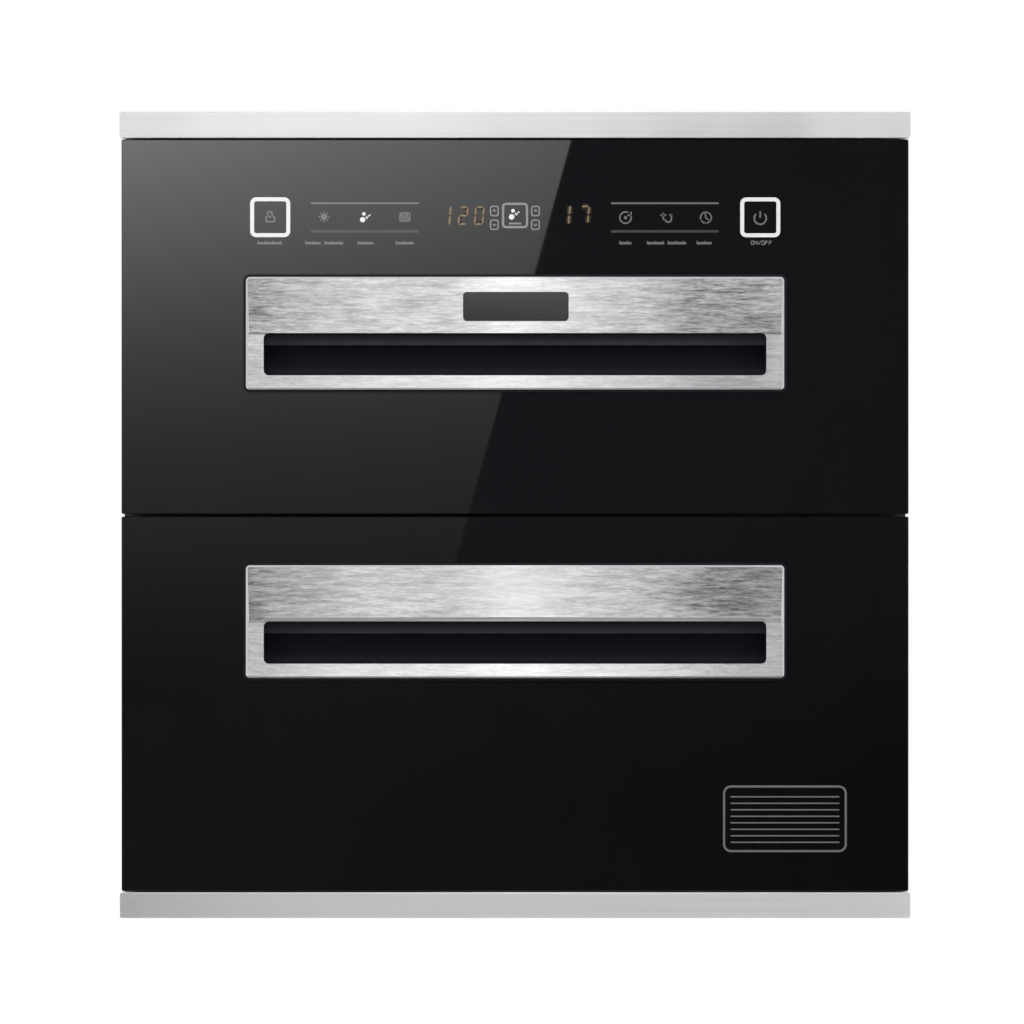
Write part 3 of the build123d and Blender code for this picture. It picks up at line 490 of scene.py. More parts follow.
case_side = 276.8
case_top = 595.8
screw_line = 407.5
case_screws = [
    screw_head((side * case_side, screw_line, z), way)
    for side, way in ((-1, "-X"), (1, "+X")) for z in (40.0, 172.0, 302.0, 432.0, 565.0)
]
case_screws += [screw_head((x, screw_line, case_top), "+Z") for x in (-235.0, -80.0, 80.0, 235.0)]
piece("case_screws", case_screws, screw_zinc, "cabinet")

# ---- Feet
# Four moulded rubber feet under the base pan, narrower at the sole, with a rounded edge. A recess in the
# middle of each sole takes the screw that holds it to the pan.

foot_x = 231.8
foot_lines = (45.0, 370.0)
foot_profile = [
    (3.5, 2.0), (6.0, 2.0), (6.4, 1.6), (6.4, 0.4), (6.8, 0.0), (14.4, 0.0), (15.0, 0.3), (15.3, 0.9),
    (17.7, 7.4), (18.0, 8.2),
]


def speckle(name, scale, low, high, *character):
    """A pattern of plain noise: the mask draws it out between two levels, and the height follows it."""
    grain, given, gives = pattern(name, {"Scale": scale})
    level = noise(grain, given["Vector"], given["Scale"], *character)
    feed(gives, ("Mask", ramp(grain, level, low, high)), ("Height", level))
    return grain


rubber = speckle("rubber_grain", 900.0, 0.35, 0.65, 2.0)
foot_rubber = coat("foot_rubber", 0.018, (0.035, 0.035, 0.034), rubber, 1400.0, (0.62, 0.85), 0.3)


def turned(profile, sides, centre, way="+Z"):
    """A turned form: each (radius, height) of the profile goes round an axis, and flat ends close it."""
    radius, height = np.array(profile, float).T[:, :, None]
    turn = full_turn(sides)
    return swept(placed(radius * np.cos(turn), radius * np.sin(turn), height, centre, way))


feet = [turned(foot_profile, 48, (x, y, 0)) for x in (-foot_x, foot_x) for y in foot_lines]
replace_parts(piece("rubber_feet", feet, foot_rubber, "cabinet"), "feet")

# ---- Front frame and drawer pans
# The frame round the drawers and the pans behind their glass, folded from steel sheet and powder-coated
# black. The fine orange peel of the coat shows in grazing light.

peel = speckle("orange_peel", 700.0, 0.3, 0.7, 1.5, 0.4)
dress(coat(
    "black_powder_coat", (0.012, 0.012, 0.013), (0.020, 0.020, 0.022), peel, 800.0, (0.36, 0.48), 0.25
), "face_frame")
dress(coat(
    "pan_powder_coat", (0.035, 0.036, 0.039), (0.050, 0.051, 0.055), peel, 800.0, (0.38, 0.50), 0.25
), *both("door_pan"))

# ---- Trims
# Stainless caps above and below the drawers, folded from sheet and brushed along their length. They sit on
# the upper and the lower edge of the front frame.

brushing, given, gives = pattern("brushing", {"Along": 30.0, "Across": 1300.0, "Low": 0.3, "High": 0.7})
stretch = node(brushing, "CombineXYZ", (0, given["Along"]), (1, given["Across"]), (2, given["Across"]))
lines = node(
    brushing, "VectorMath", (0, given["Vector"]), (1, stretch.outputs[0]), operation="MULTIPLY"
).outputs[0]
wider = node(brushing, "VectorMath", (0, lines), ("Scale", 0.31), operation="SCALE").outputs[0]
fine = noise(brushing, lines, 1.0, 3.0, 0.6)
broad = noise(brushing, wider, 1.0, 3.0, 0.6)
evenly = maths(brushing, "MULTIPLY", maths(brushing, "ADD", fine, broad), 0.5)
feed(gives, ("Mask", ramp(brushing, evenly, given["Low"], given["High"])), ("Height", evenly))

dress(metal(
    "trim_brushed", 0.66, 0.755, brushing, (9.0, 1500.0), (0.30, 0.38), 0.25, 0.00006,
    plain={"Anisotropic": 0.6, "Anisotropic Rotation": 0.25},
), "top_trim", "bottom_trim")

# ---- Drawer glass
# Two sheets of 4 mm tempered glass, enamelled black behind, with ground edges. The face is flat and glossy,
# with the faintest film of handling.

black_glass, sheet, sheet_shader = material("black_backed_glass")
film = grained(sheet, handling, places(sheet), 14.0)["Mask"]
feed(
    sheet_shader, ("Base Color", blend(sheet, film, (0.0038, 0.0039, 0.0043), (0.0046, 0.0047, 0.0051))),
    ("Roughness", ramp(sheet, film, low=0.010, high=0.035)),
)
dress(black_glass, *both("glass"))

# ---- Handle cups
# A black moulded tub sunk in each glass, with a flange that shows as a thin border round the cover plate and
# a rail behind the lip to pull on. It has a fine spark texture, and the rail's front has painted light: grey
# towards its foot, with painted shadow under the lip and painted shade towards the end walls.

recess_tops = (0.4451, 0.2265)
cup_plastic = coat(
    "cup_plastic", (0.0102, 0.0113, 0.0164), (0.0129, 0.0142, 0.0202), rubber, 2600.0, (0.48, 0.60), 0.15,
    0.00005, plain={"Specular IOR Level": 0.05},
)
moulding = cup_plastic.node_tree
cup_shader = moulding.nodes["Principled BSDF"]
cup_black = cup_shader.inputs["Base Color"].links[0].from_socket
cup_x, cup_y, cup_z = split(moulding, places(moulding))
# Painted light on the front of the rail: grey towards its foot, black in a painted shadow under the lip, and
# fading to painted shade towards the end walls of the cup.
rail_front = ramp(moulding, cup_y, -0.0293, -0.0289)
rail_back = ramp(moulding, cup_y, -0.0244, -0.0262)
on_rail = maths(moulding, "MULTIPLY", rail_front, rail_back)
from_top = maths(moulding, "SUBTRACT", recess_tops[0], cup_z)
below_lip = maths(moulding, "FLOORED_MODULO", from_top, recess_tops[0] - recess_tops[1])
lip_shadow_fade = ramp(moulding, below_lip, 0.001, 0.0095)
# Painted shade towards the end walls of the cup.
reach = ramp(moulding, maths(moulding, "ABSOLUTE", cup_x), 0.15, 0.18, 1.0, 0.35)
rail_painted_light = maths(moulding, "MULTIPLY", on_rail, maths(moulding, "MULTIPLY", lip_shadow_fade, reach))
feed(cup_shader, ("Base Color", blend(moulding, rail_painted_light, cup_black, (0.034, 0.035, 0.038))))
dress(cup_plastic, *both("handle_cup"))

# ---- Handle plates
# Stainless cover plates, brushed across with long coarse strokes, over painted shade that darkens them
# towards both ends round a painted highlight near the middle, deeper on the leaning lip than below it. They
# have a polished bevel round the outside and, on the lower one, a folded hem along the foot of the lip,
# whose darker steel is painted shade of the fold.

# Painted shade along the plates, from end to end: low near the middle, where it leaves a painted highlight,
# and high at both ends.
painted_plate_shade = (
    (0.0, 0.60), (0.08, 0.46), (0.20, 0.34), (0.35, 0.37), (0.44, 0.20), (0.50, 0.12), (0.57, 0.21),
    (0.66, 0.34), (0.78, 0.46), (0.89, 0.61), (1.0, 0.51),
)
plate_brushed_painted_shade, plate, plate_shader = material("plate_brushed_painted_shade")
plate_texture = node(plate, "TexCoord").outputs
plate_place, plate_normal = plate_texture["Object"], plate_texture["Normal"]
strokes = grained(plate, brushing, plate_place, 85.0, 820.0, 0.40, 0.60)["Mask"]
scratches = grained(plate, brushing, plate_place, 260.0, 2000.0, 0.40, 0.60)["Mask"]
bright = between(plate, 0.45, strokes, scratches)
plate_span = ramp(plate, split(plate, plate_place)["X"], -0.2, 0.2)
# The leaning lip takes the full painted shade, the upright face below it less than half.
lip_shade_share = ramp(plate, split(plate, plate_normal)["Z"], 0.008, 0.02, 0.45, 1.0)
painted_shade = maths(plate, "MULTIPLY", drawn_curve(plate, plate_span, painted_plate_shade), lip_shade_share)
painted_light_level = maths(plate, "SUBTRACT", 1.0, painted_shade)
spread = ramp(plate, painted_shade, 0.15, 0.60, 0.32, 0.60)
swing = maths(plate, "MULTIPLY", maths(plate, "SUBTRACT", bright, 0.5), spread)
# The brushed colour: brush streaks swinging about the painted light level.
brushed = blend(plate, maths(plate, "ADD", painted_light_level, swing), 0.0, 0.94)
to_front = node(plate, "VectorMath", (0, plate_normal), (1, (0.0, -1.0, 0.0)), operation="DOT_PRODUCT")
polished = ramp(plate, to_front.outputs["Value"], 0.98, 0.85)
plate_film = grained(plate, handling, plate_place)["Mask"]
plate_relief = node(plate, "Bump", ("Height", bright), ("Strength", 0.3), ("Distance", 0.00006))
feed(
    plate_shader, ("Base Color", blend(plate, polished, brushed, 0.80)),
    ("Roughness", ramp(plate, plate_film, low=0.30, high=0.38)), ("Normal", plate_relief.outputs[0]),
    ("Metallic", 1.0), ("Anisotropic", 0.7), ("Anisotropic Rotation", 0.25),
)
dress(plate_brushed_painted_shade, *both("handle_plate"))

lip_top = (-32.2, 487.7)
lip_foot = (-33.4, 445.1)
hem_half = 190.0
hem_ease = 0.3


def folded_hem(recess_top, height=3.5, proud=0.15):
    """A flat strip along the foot of the lip: its section, with softened front edges, follows the lip's
    lean, and is carried along the recess and drawn in at both ends."""
    section = np.array([
        (0.3, 0.0), (-proud + 0.06, 0.0), (-proud, 0.15), (-proud, height - 0.15), (-proud + 0.06, height),
        (0.3, height),
    ])
    ends = np.array([-hem_half, -hem_half + hem_ease, hem_half - hem_ease, hem_half])[:, None]
    shown = np.array([0.0, 1.0, 1.0, 0.0])[:, None]
    lean = (lip_foot[0] - lip_top[0]) / (lip_foot[1] - lip_top[1])
    out = np.where(section[:, 0] < 0, section[:, 0] * shown + 0.1 * (1 - shown), section[:, 0])
    up = section[:, 1]
    return swept(joined(ends, lip_foot[0] + lean * up + out, recess_top + up))


# The hem's steel is darker than the plate as painted shade of the fold.
hem_steel = metal("hem_steel", 0.34, 0.46, brushing, (85.0, 820.0), (0.32, 0.40), 0.2, 0.00006)
hem_strip = folded_hem(1000 * recess_tops[1])
hem = piece("lower_lip_hem", [hem_strip], hem_steel, "lower_drawer")
bpy.data.collections["lower_plate_lamp_only"].objects.link(hem)

# ---- Bare plate on the upper handle
# A small aluminium plate with rounded corners, brushed and anodised dark grey, bonded to the middle of the
# upper handle. It is left plain.

bare_width = 80.0
bare_height = 22.0
bare_corner = 3.0
bare_middle = (0.6, 465.3)
bare_sheet = 0.7


def round_points(middle, radius, turn):
    """Points on a circle, at angles counted from the right."""
    return joined(middle[0] + radius * np.cos(turn), middle[1] + radius * np.sin(turn))


def rounded_outline(width, height, corner, middle, steps=6):
    """Points round a rectangle with rounded corners, from arcs about its four corner centres."""
    quarter = np.linspace(0, np.pi / 2, steps)
    arcs = []
    for turn, (sx, sz) in enumerate(((1, 1), (-1, 1), (-1, -1), (1, -1))):
        centre = (middle[0] + sx * (width / 2 - corner), middle[1] + sz * (height / 2 - corner))
        arcs.append(round_points(centre, corner, quarter + turn * np.pi / 2))
    return np.concatenate(arcs)


def leaning_plate():
    """The outline carried out from the leaning face of the handle plate, in rings that round its edge."""
    rings = []
    for inset, lift in ((0.0, 0.0), (0.0, bare_sheet - 0.3), (0.09, bare_sheet - 0.09), (0.3, bare_sheet)):
        width, height = bare_width - 2 * inset, bare_height - 2 * inset
        flat = rounded_outline(width, height, bare_corner - inset, bare_middle)
        share = (lip_top[1] - flat[:, 1]) / (lip_top[1] - lip_foot[1])
        face = lip_top[0] + (lip_foot[0] - lip_top[0]) * share
        rings.append(joined(flat[:, 0], face - lift, flat[:, 1]))
    return swept(np.stack(rings))


anodised = coat(
    "anodised_dark", (0.031, 0.030, 0.030), (0.040, 0.039, 0.039), brushing, (60.0, 2600.0), (0.50, 0.60),
    0.06, 0.00005, metallic=0.25, plain={"Specular IOR Level": 0.3},
)
piece("bare_plate", [leaning_plate()], anodised, "upper_drawer")

# ---- Printed keys
# Two square touch keys with white rounded frames, and between them plain function marks in two ruled groups,
# all screen-printed on the glass in white and in greys. Places on the glass are (x, z).

print_face = -28.2 - 0.03


def on_glass(flat, sunk=0.0):
    """Points on the face of the glass, or sunk in it."""
    return joined(flat[:, 0], print_face + sunk, flat[:, 1])


def filled(flat, sunk=0.0):
    """A filled printed patch inside its outline."""
    return on_glass(flat, sunk), np.empty((0, 4), int), [np.arange(len(flat))]


def ribbon(path, width, closed=False):
    """A flat printed line: the path's points are moved half the width to each side, square to the path, and
    further out at corners so that the width stays even."""
    path = np.array(path, float)
    before, after = np.roll(path, 1, 0), np.roll(path, -1, 0)
    if not closed:
        before[0] = 2 * path[0] - path[1]
        after[-1] = 2 * path[-1] - path[-2]
    first, second = unit(path - before), unit(after - path)
    along = unit(first + second)
    side = joined(-along[:, 1], along[:, 0])
    reach = width / 2 / np.maximum(np.sum(along * second, 1), 0.5)[:, None]
    edges = np.stack([path + side * reach, path - side * reach], 1).reshape(-1, 2)
    return on_glass(edges), rows_of_faces(len(path), 2, round_rows=closed, round_columns=False), []


def disc(middle, radius):
    """A filled printed dot."""
    return filled(round_points(middle, radius, full_turn(24)))


def arc(middle, radius, start, stop, width, steps=24):
    """A printed arc between two angles in degrees, counted from the right."""
    return ribbon(round_points(middle, radius, np.radians(np.linspace(start, stop, steps))), width)


def frame_line(width, height, corner, middle, line):
    """A printed rounded frame of an even line, given by its outside size."""
    outline = rounded_outline(width - line, height - line, corner - line / 2, middle, 7)
    return ribbon(outline, line, closed=True)


def printed(name, parts, skin, body="upper_drawer"):
    """A printed piece: it rides with the glass, and the window's reflection falls on it as on the glass."""
    glass_only.objects.link(piece(name, parts, skin, body, closed=False))


def ink(name, shade, glow_strength=0.0):
    """Screen ink: an even colour with faint mottling, glossy as the glass over it."""
    shine = {"Emission Color": shade, "Emission Strength": glow_strength} if glow_strength else {}
    dark = [0.9 * part for part in shade]
    return coat(name, dark, shade, rubber, 1500.0, (0.12, 0.2), 0.02, 0.00001, plain=shine)


white_ink = ink("white_ink", (0.80, 0.80, 0.81))
bright_ink = ink("bright_grey_ink", (0.26, 0.26, 0.265))
mark_ink = ink("mark_grey_ink", (0.145, 0.145, 0.15))
rule_ink = ink("rule_grey_ink", (0.055, 0.055, 0.058))

lock_key = (-185.7, 533.1)
power_key = (186.0, 533.0)
key_frames = [frame_line(30.4, 30.2, 4.6, middle, 3.0) for middle in (lock_key, power_key)]
printed("key_frames", key_frames, white_ink)

lock_mark = [frame_line(7.6, 4.9, 1.3, (-185.6, 531.6), 1.2), arc((-185.9, 535.7), 1.75, 0, 180, 1.1)]
lock_mark += [ribbon([(x, 533.4), (x, 535.8)], 1.1) for x in (-187.65, -184.15)]
sun = (-144.8, 533.4)
sun_mark = [disc(sun, 2.5)]
for turn in full_turn(8):
    way = np.array([np.cos(turn), np.sin(turn)])
    sun_mark.append(ribbon([sun + 2.9 * way, sun + 4.1 * way], 1.0))
bubble_mark = [
    disc((-115.6, 531.2), 2.0), disc((-114.6, 535.6), 1.35), disc((-112.4, 532.9), 1.0),
    ribbon([(-112.4, 532.9), (-109.6, 535.2)], 0.8),
]
dry_mark = [frame_line(8.4, 7.2, 1.6, (-83.6, 533.2), 1.1)]
for x in (-85.6, -83.6, -81.6):
    wave = x + 0.4 * np.sin(np.linspace(0, 2 * np.pi, 13))
    dry_mark.append(ribbon(joined(wave, np.linspace(530.6, 535.8, 13)), 1.25))
auto_mark = [
    arc((83.8, 532.8), 4.3, 60, 385, 1.2, 40), disc((83.8, 532.8), 1.3),
    ribbon([(88.0, 537.2), (88.0, 534.4), (85.3, 534.6)], 1.1),
]
bowl_mark = [
    ribbon([(110.2, 534.6), (114.8, 534.6)], 1.2), ribbon([(112.5, 536.4), (112.5, 531.0)], 1.3),
    arc((116.3, 531.6), 2.3, 180, 360, 1.2), ribbon([(118.6, 531.6), (118.6, 535.2)], 1.2),
    ribbon([(116.9, 535.0), (119.4, 535.0)], 1.1),
]
delay_mark = [
    arc((144.8, 532.8), 4.1, -90, 200, 1.1, 36), arc((144.8, 532.8), 4.1, 212, 262, 1.1, 8),
    ribbon([(144.3, 536.0), (144.6, 532.8), (146.9, 530.9)], 1.1),
]
power_mark = [
    arc((power_key[0], 532.3), 4.55, -225, 45, 1.35, 32), ribbon([(186.0, 532.6), (186.0, 537.7)], 1.35),
]
printed("left_key_marks", lock_mark + sun_mark + dry_mark, mark_ink)
printed("right_key_marks", auto_mark + bowl_mark + delay_mark + power_mark, mark_ink)
printed("bubble_marks", bubble_mark, white_ink)

rule_spans = ((-154.7, -72.9), (72.9, 154.5))
for name, z, width, skin in (("upper_rules", 543.7, 1.4, mark_ink), ("lower_rules", 522.4, 1.9, rule_ink)):
    printed(name, [ribbon([(start, z), (stop, z)], width) for start, stop in rule_spans], skin)

caption_spans = (
    (-195.8, -176.5), (-159.7, -147.0), (-145.0, -130.1), (-119.8, -107.1), (-91.0, -76.4), (78.7, 88.6),
    (99.7, 113.5), (115.4, 130.2), (137.4, 149.5),
)
caption_bars = []
for start, stop in caption_spans:
    caption_bars.append(ribbon([(start + 0.3, 513.4), (stop - 0.3, 513.4)], 1.9))
    for x in np.arange(start + 0.8, stop - 1.0, 5.7):
        caption_bars.append(ribbon([(x, 514.3), (x, 515.1)], 0.9))
printed("captions", caption_bars, mark_ink)

letter_foot = 512.3
letter_shapes = {
    "O": [
        ((0, 0.5), (0, 2.4), (0.5, 2.9), (1.5, 2.9), (2.0, 2.4), (2.0, 0.5), (1.5, 0), (0.5, 0), (0, 0.5)),
    ],
    "N": [((0, 0), (0, 2.9)), ((0, 2.7), (2.0, 0.2)), ((2.0, 0), (2.0, 2.9))],
    "F": [((0, 0), (0, 2.9)), ((0, 2.7), (1.9, 2.7)), ((0, 1.5), (1.5, 1.5))],
    "/": [((0, 0), (1.4, 2.9))],
}
letters = []
pen = 179.0
for letter in "ON/OFF":
    for stroke in letter_shapes[letter]:
        letters.append(ribbon([(pen + x, letter_foot + z) for x, z in stroke], 0.45))
    pen += 2.2 if letter == "/" else 2.9
printed("switch_letters", letters, bright_ink)

# ---- Display
# Amber segments that glow through the upper glass from the module behind it, one number for each chamber,
# with a painted glow of dark amber ink round them. The keys between the numbers are printed on the glass.

digit_height = 12.8
digit_width = 5.9
digit_slant = 0.09
segment_line = 1.25
segment_gap = 0.35
painted_glow_line = 4.0
painted_glow_depth = 0.015
lit_segments = {"0": "abcdef", "1": "bc", "2": "abged", "7": "abc"}
figures = (
    ("1", -55.8, 527.9), ("2", -42.9, 527.9), ("0", -30.7, 527.9), ("1", 34.7, 528.5), ("7", 49.2, 528.5),
)


def digit(figure, left, foot, line=segment_line, sunk=0.0):
    """The lit bars of a seven-segment figure, each with pointed ends and slanted to the right."""
    w, h, g = digit_width, digit_height / 2, segment_gap
    tall = 0.8 if figure == "1" else 0.0
    ends = {
        "a": ((g, 2 * h), (w - g, 2 * h)), "b": ((w, 2 * h - g + tall), (w, h + g)),
        "c": ((w, h - g), (w, g - tall)), "d": ((g, 0), (w - g, 0)), "e": ((0, h - g), (0, g)),
        "f": ((0, 2 * h - g), (0, h + g)), "g": ((g, h), (w - g, h)),
    }
    bars = []
    for segment in lit_segments[figure]:
        start, stop = np.array(ends[segment], float)
        along = unit(stop - start)
        side = np.array((-along[1], along[0])) * line / 2
        tip = along * segment_line / 2
        low, high = start + tip, stop - tip
        flat = np.array([start, low + side, high + side, stop, high - side, low - side])
        flat[:, 0] += left + digit_slant * flat[:, 1]
        flat[:, 1] += foot
        bars.append(filled(flat, sunk))
    return bars


amber = ink("amber_segments", (0.19, 0.130, 0.062), 0.16)
# Dark amber ink in wider bars under the lit ones: a painted glow round the segments.
amber_painted_glow = ink("amber_painted_glow", (0.020, 0.013, 0.005))
lit_bars = [bar for figure in figures for bar in digit(*figure)]
painted_glow_bars = [bar for figure in figures for bar in digit(*figure, painted_glow_line, painted_glow_depth)]
printed("display_digits", lit_bars, amber)
printed("display_painted_glow", painted_glow_bars, amber_painted_glow)

display_keys = [frame_line(19.8, 19.3, 3.0, (0.0, 534.4), 1.7), ribbon([(-4.6, 528.3), (4.8, 528.3)], 1.3)]
for x in (-15.7, 15.5):
    for z, foot, tip in ((537.8, 537.3, 538.8), (527.4, 528.0, 526.5)):
        display_keys.append(frame_line(6.7, 8.0, 2.0, (x, z), 0.9))
        display_keys.append(ribbon([(x - 1.2, foot), (x, tip), (x + 1.2, foot)], 0.7))
printed("display_keys", display_keys, bright_ink)
display_bubbles = [disc((-2.6, 533.4), 2.1), disc((-1.5, 538.0), 1.4), disc((0.9, 535.5), 1.0)]
display_bubbles.append(ribbon([(0.9, 535.5), (3.4, 537.4)], 0.8))
printed("display_bubbles", display_bubbles, white_ink)

# ---- Ruled panel
# A rounded frame with plain rules, screen-printed in grey at the lower right of the lower glass, in the same
# way as the keys.

panel_ink = ink("panel_ink", (0.17, 0.17, 0.175))
ruled = [frame_line(93.9, 50.6, 6.0, (204.7, 76.8), 1.6)]
ruled += [ribbon([(163.5, z), (246.0, z)], 1.0) for z in np.linspace(93.5, 59.0, 8)]
printed("ruled_panel", ruled, panel_ink, "lower_drawer")

# ---- Seals and magnets
# A grey ring of moulded silicone pressed round the back of each drawer, and the plated magnet on its pan
# that tells the sensor it is shut.

seal_silicone = coat("seal_silicone", (0.20, 0.20, 0.21), (0.27, 0.27, 0.28), rubber, 600.0, (0.5, 0.66))
dress(seal_silicone, *both("door_seal"))
dress(metal(
    "magnet_plating", (0.50, 0.50, 0.52), (0.62, 0.62, 0.64), handling, 200.0, (0.2, 0.35)
), *both("door_magnet"))

# ---- Chambers
# Folded stainless liners with a satin finish, the slotted grille of the hot air, and the drawers' side
# rails of the same sheet, screwed to the drawer pans through their bent tabs.

liner_satin = metal("liner_satin", 0.50, 0.60, brushing, (1700.0, 26.0), (0.26, 0.40), 0.12, 0.00005)
dress(liner_satin, *both("liner"), "air_grille")
rail_satin = metal("rail_satin", 0.52, 0.64, brushing, (1700.0, 30.0), (0.28, 0.42), 0.12, 0.00005)
dress(rail_satin, *both("side_rails"))

tab_x = 232.6
tab_face = -3.0
tab_rises = (64.0, 84.0)
chamber_floors = {"upper": 326.0, "lower": 40.0}
for name, chamber_floor in chamber_floors.items():
    heads = [(side * tab_x, tab_face, chamber_floor + rise) for side in (-1, 1) for rise in tab_rises]
    tabs = [screw_head(centre, "+Y", 3.2, 1.5) for centre in heads]
    piece(name + "_tab_screws", tabs, screw_zinc, name + "_drawer")

# ---- Telescopic slides
# Rolled channels, zinc plated and bright, nested in threes, with steel balls in pressed cages between them.
# The outer one stays in the chamber, and the inner one carries the drawer.

dress(metal(
    "slide_zinc", (0.50, 0.53, 0.56), (0.66, 0.68, 0.71), brushing, (500.0, 18.0), (0.2, 0.34), 0.08,
    0.00005,
), *both("slide_outers", "slide_middles", "slide_inners"))
cage_steel = metal(
    "cage_steel", (0.36, 0.35, 0.34), (0.50, 0.49, 0.48), brushing, (700.0, 20.0), (0.25, 0.4), 0.1
)
ball_steel = metal(
    "ball_steel", (0.62, 0.62, 0.63), (0.70, 0.70, 0.71), handling, 500.0, (0.06, 0.14), 0.02
)
ball_radius = 1.25
balls_per_row = 13
cage_sheet = 0.4
cage_flange = 6.5
slide_rise = 72.0
channel_half = 17.5
channel_sheet = 1.2
ball_seat = 1.45
channel_step = 4.1


def half_turn(radius):
    """Radius and height of a ball's profile, from pole to pole, with the poles cut flat."""
    angle = np.radians(np.linspace(-84, 84, 8))
    return joined(radius * np.cos(angle), radius * np.sin(angle))


def cage_strip(low, high):
    """One bent strip between two corners: its section is a flat-bottomed channel along the slide."""
    (x0, y0, z0), (x1, y1, z1) = low, high
    inner_x, inner_low, inner_high = x1 - cage_sheet, z0 + cage_sheet, z1 - cage_sheet
    x = np.array([x0, x1, x1, x0, x0, inner_x, inner_x, x0])
    z = np.array([z0, z0, z1, z1, inner_high, inner_high, inner_low, inner_low])
    return swept(joined(x, np.array([[y0], [y1]]), z))


for name, chamber_floor in chamber_floors.items():
    for level, which in enumerate(("outer", "inner")):
        cad_name = name + "_" + which + "_ball_cages"
        body = name + "_" + which + "_cages"
        low, high = (np.array(corner) * 1000 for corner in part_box(cad_name))
        middle = chamber_floor + slide_rise
        half = channel_half - channel_sheet - ball_seat - level * channel_step
        web = high[0]
        strips = []
        balls = []
        for side in (-1, 1):
            strip_low = (side * (web - cage_flange), low[1], middle - half - 0.2)
            strips.append(cage_strip(strip_low, (side * web, high[1], middle + half + 0.2)))
            for up in (-half, half):
                for y in np.linspace(low[1] + 5, high[1] - 5, balls_per_row):
                    ball_place = (side * (web - cage_flange / 2), y, middle + up)
                    balls.append(turned(half_turn(ball_radius), 12, ball_place))
        strip = piece(name + "_" + which + "_cage_strips", strips, cage_steel, body)
        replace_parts(strip, cad_name)
        piece(name + "_" + which + "_balls", balls, ball_steel, body)

# ---- Racks
# Stainless wire baskets, welded and electropolished: a heavy rim that rests on the side rails, wires hung
# across and along it, and two rows of tines that hold plates upright.

rim_wire = 5.0
rack_wire = 3.0
rim_side = 237.4
rim_front = 20.5
rim_rear = 311.5
rim_corner = 14.0
leg_side = 223.4
base_rise = 17.5
rim_rise = 94.5
cross_bend = 5.0
wire_bend = 8.0
end_inset = 4.0
tine_pitch = 21.0
tines_per_row = 20
rack_layout = {"upper": ((100.0, 150.0), 62.0), "lower": ((126.0, 234.0), 40.0)}


def softened(points, radius, closed=False, steps=6):
    """A path whose corners give way to arcs of a radius, tangent to the runs that meet there."""
    points = np.array(points, float)
    bends = np.stack([np.roll(points, 1, 0), points, np.roll(points, -1, 0)], 1)
    path = [] if closed else [points[:1]]
    for before, corner, after in bends if closed else bends[1:-1]:
        back, on = unit(before - corner), unit(after - corner)
        half = np.arccos(np.clip(back @ on, -1, 1)) / 2
        centre = corner + unit(back + on) * radius / np.sin(half)
        start = corner + back * radius / np.tan(half) - centre
        stop = corner + on * radius / np.tan(half) - centre
        turn = np.pi - 2 * half
        share = np.linspace(0, 1, steps)[:, None]
        swung = np.sin((1 - share) * turn) * start + np.sin(share * turn) * stop
        path.append(centre + swung / np.sin(turn))
    if not closed:
        path.append(points[-1:])
    return np.concatenate(path)


def ringed(path, radius, aside, beside, sides):
    """Circles about the points of a path, drawn between two directions square to it and to each other."""
    turn = full_turn(sides)[None, :, None]
    return path[:, None] + radius * (np.cos(turn) * aside + np.sin(turn) * beside)


def wire(path, diameter, sides=10, closed=False):
    """A round wire: a circle square to the path at each of its points, with rounded ends. The path lies in
    one plane, so each circle is drawn between the plane's normal and the path's normal in it."""
    path = np.array(path, float)
    radius = diameter / 2
    widths = np.ones(len(path))
    along = np.roll(path, -1, 0) - np.roll(path, 1, 0)
    if not closed:
        inset = np.array([[0.0], [0.12], [0.45], [1.0]])
        start = path[0] + unit(path[1] - path[0]) * radius * inset
        stop = path[-1] - unit(path[-1] - path[-2]) * radius * inset[::-1]
        path = np.concatenate([start, path[1:-1], stop])
        taper = [0.35, 0.66, 0.9, 1.0]
        widths = np.concatenate([taper, np.ones(len(path) - 8), taper[::-1]])
        along = np.gradient(path, axis=0)
    flat = np.linalg.svd(path - path.mean(0))[2][-1]
    beside = np.cross(unit(along), flat)
    return swept(ringed(path, radius * widths[:, None, None], flat, beside[:, None], sides), closed)


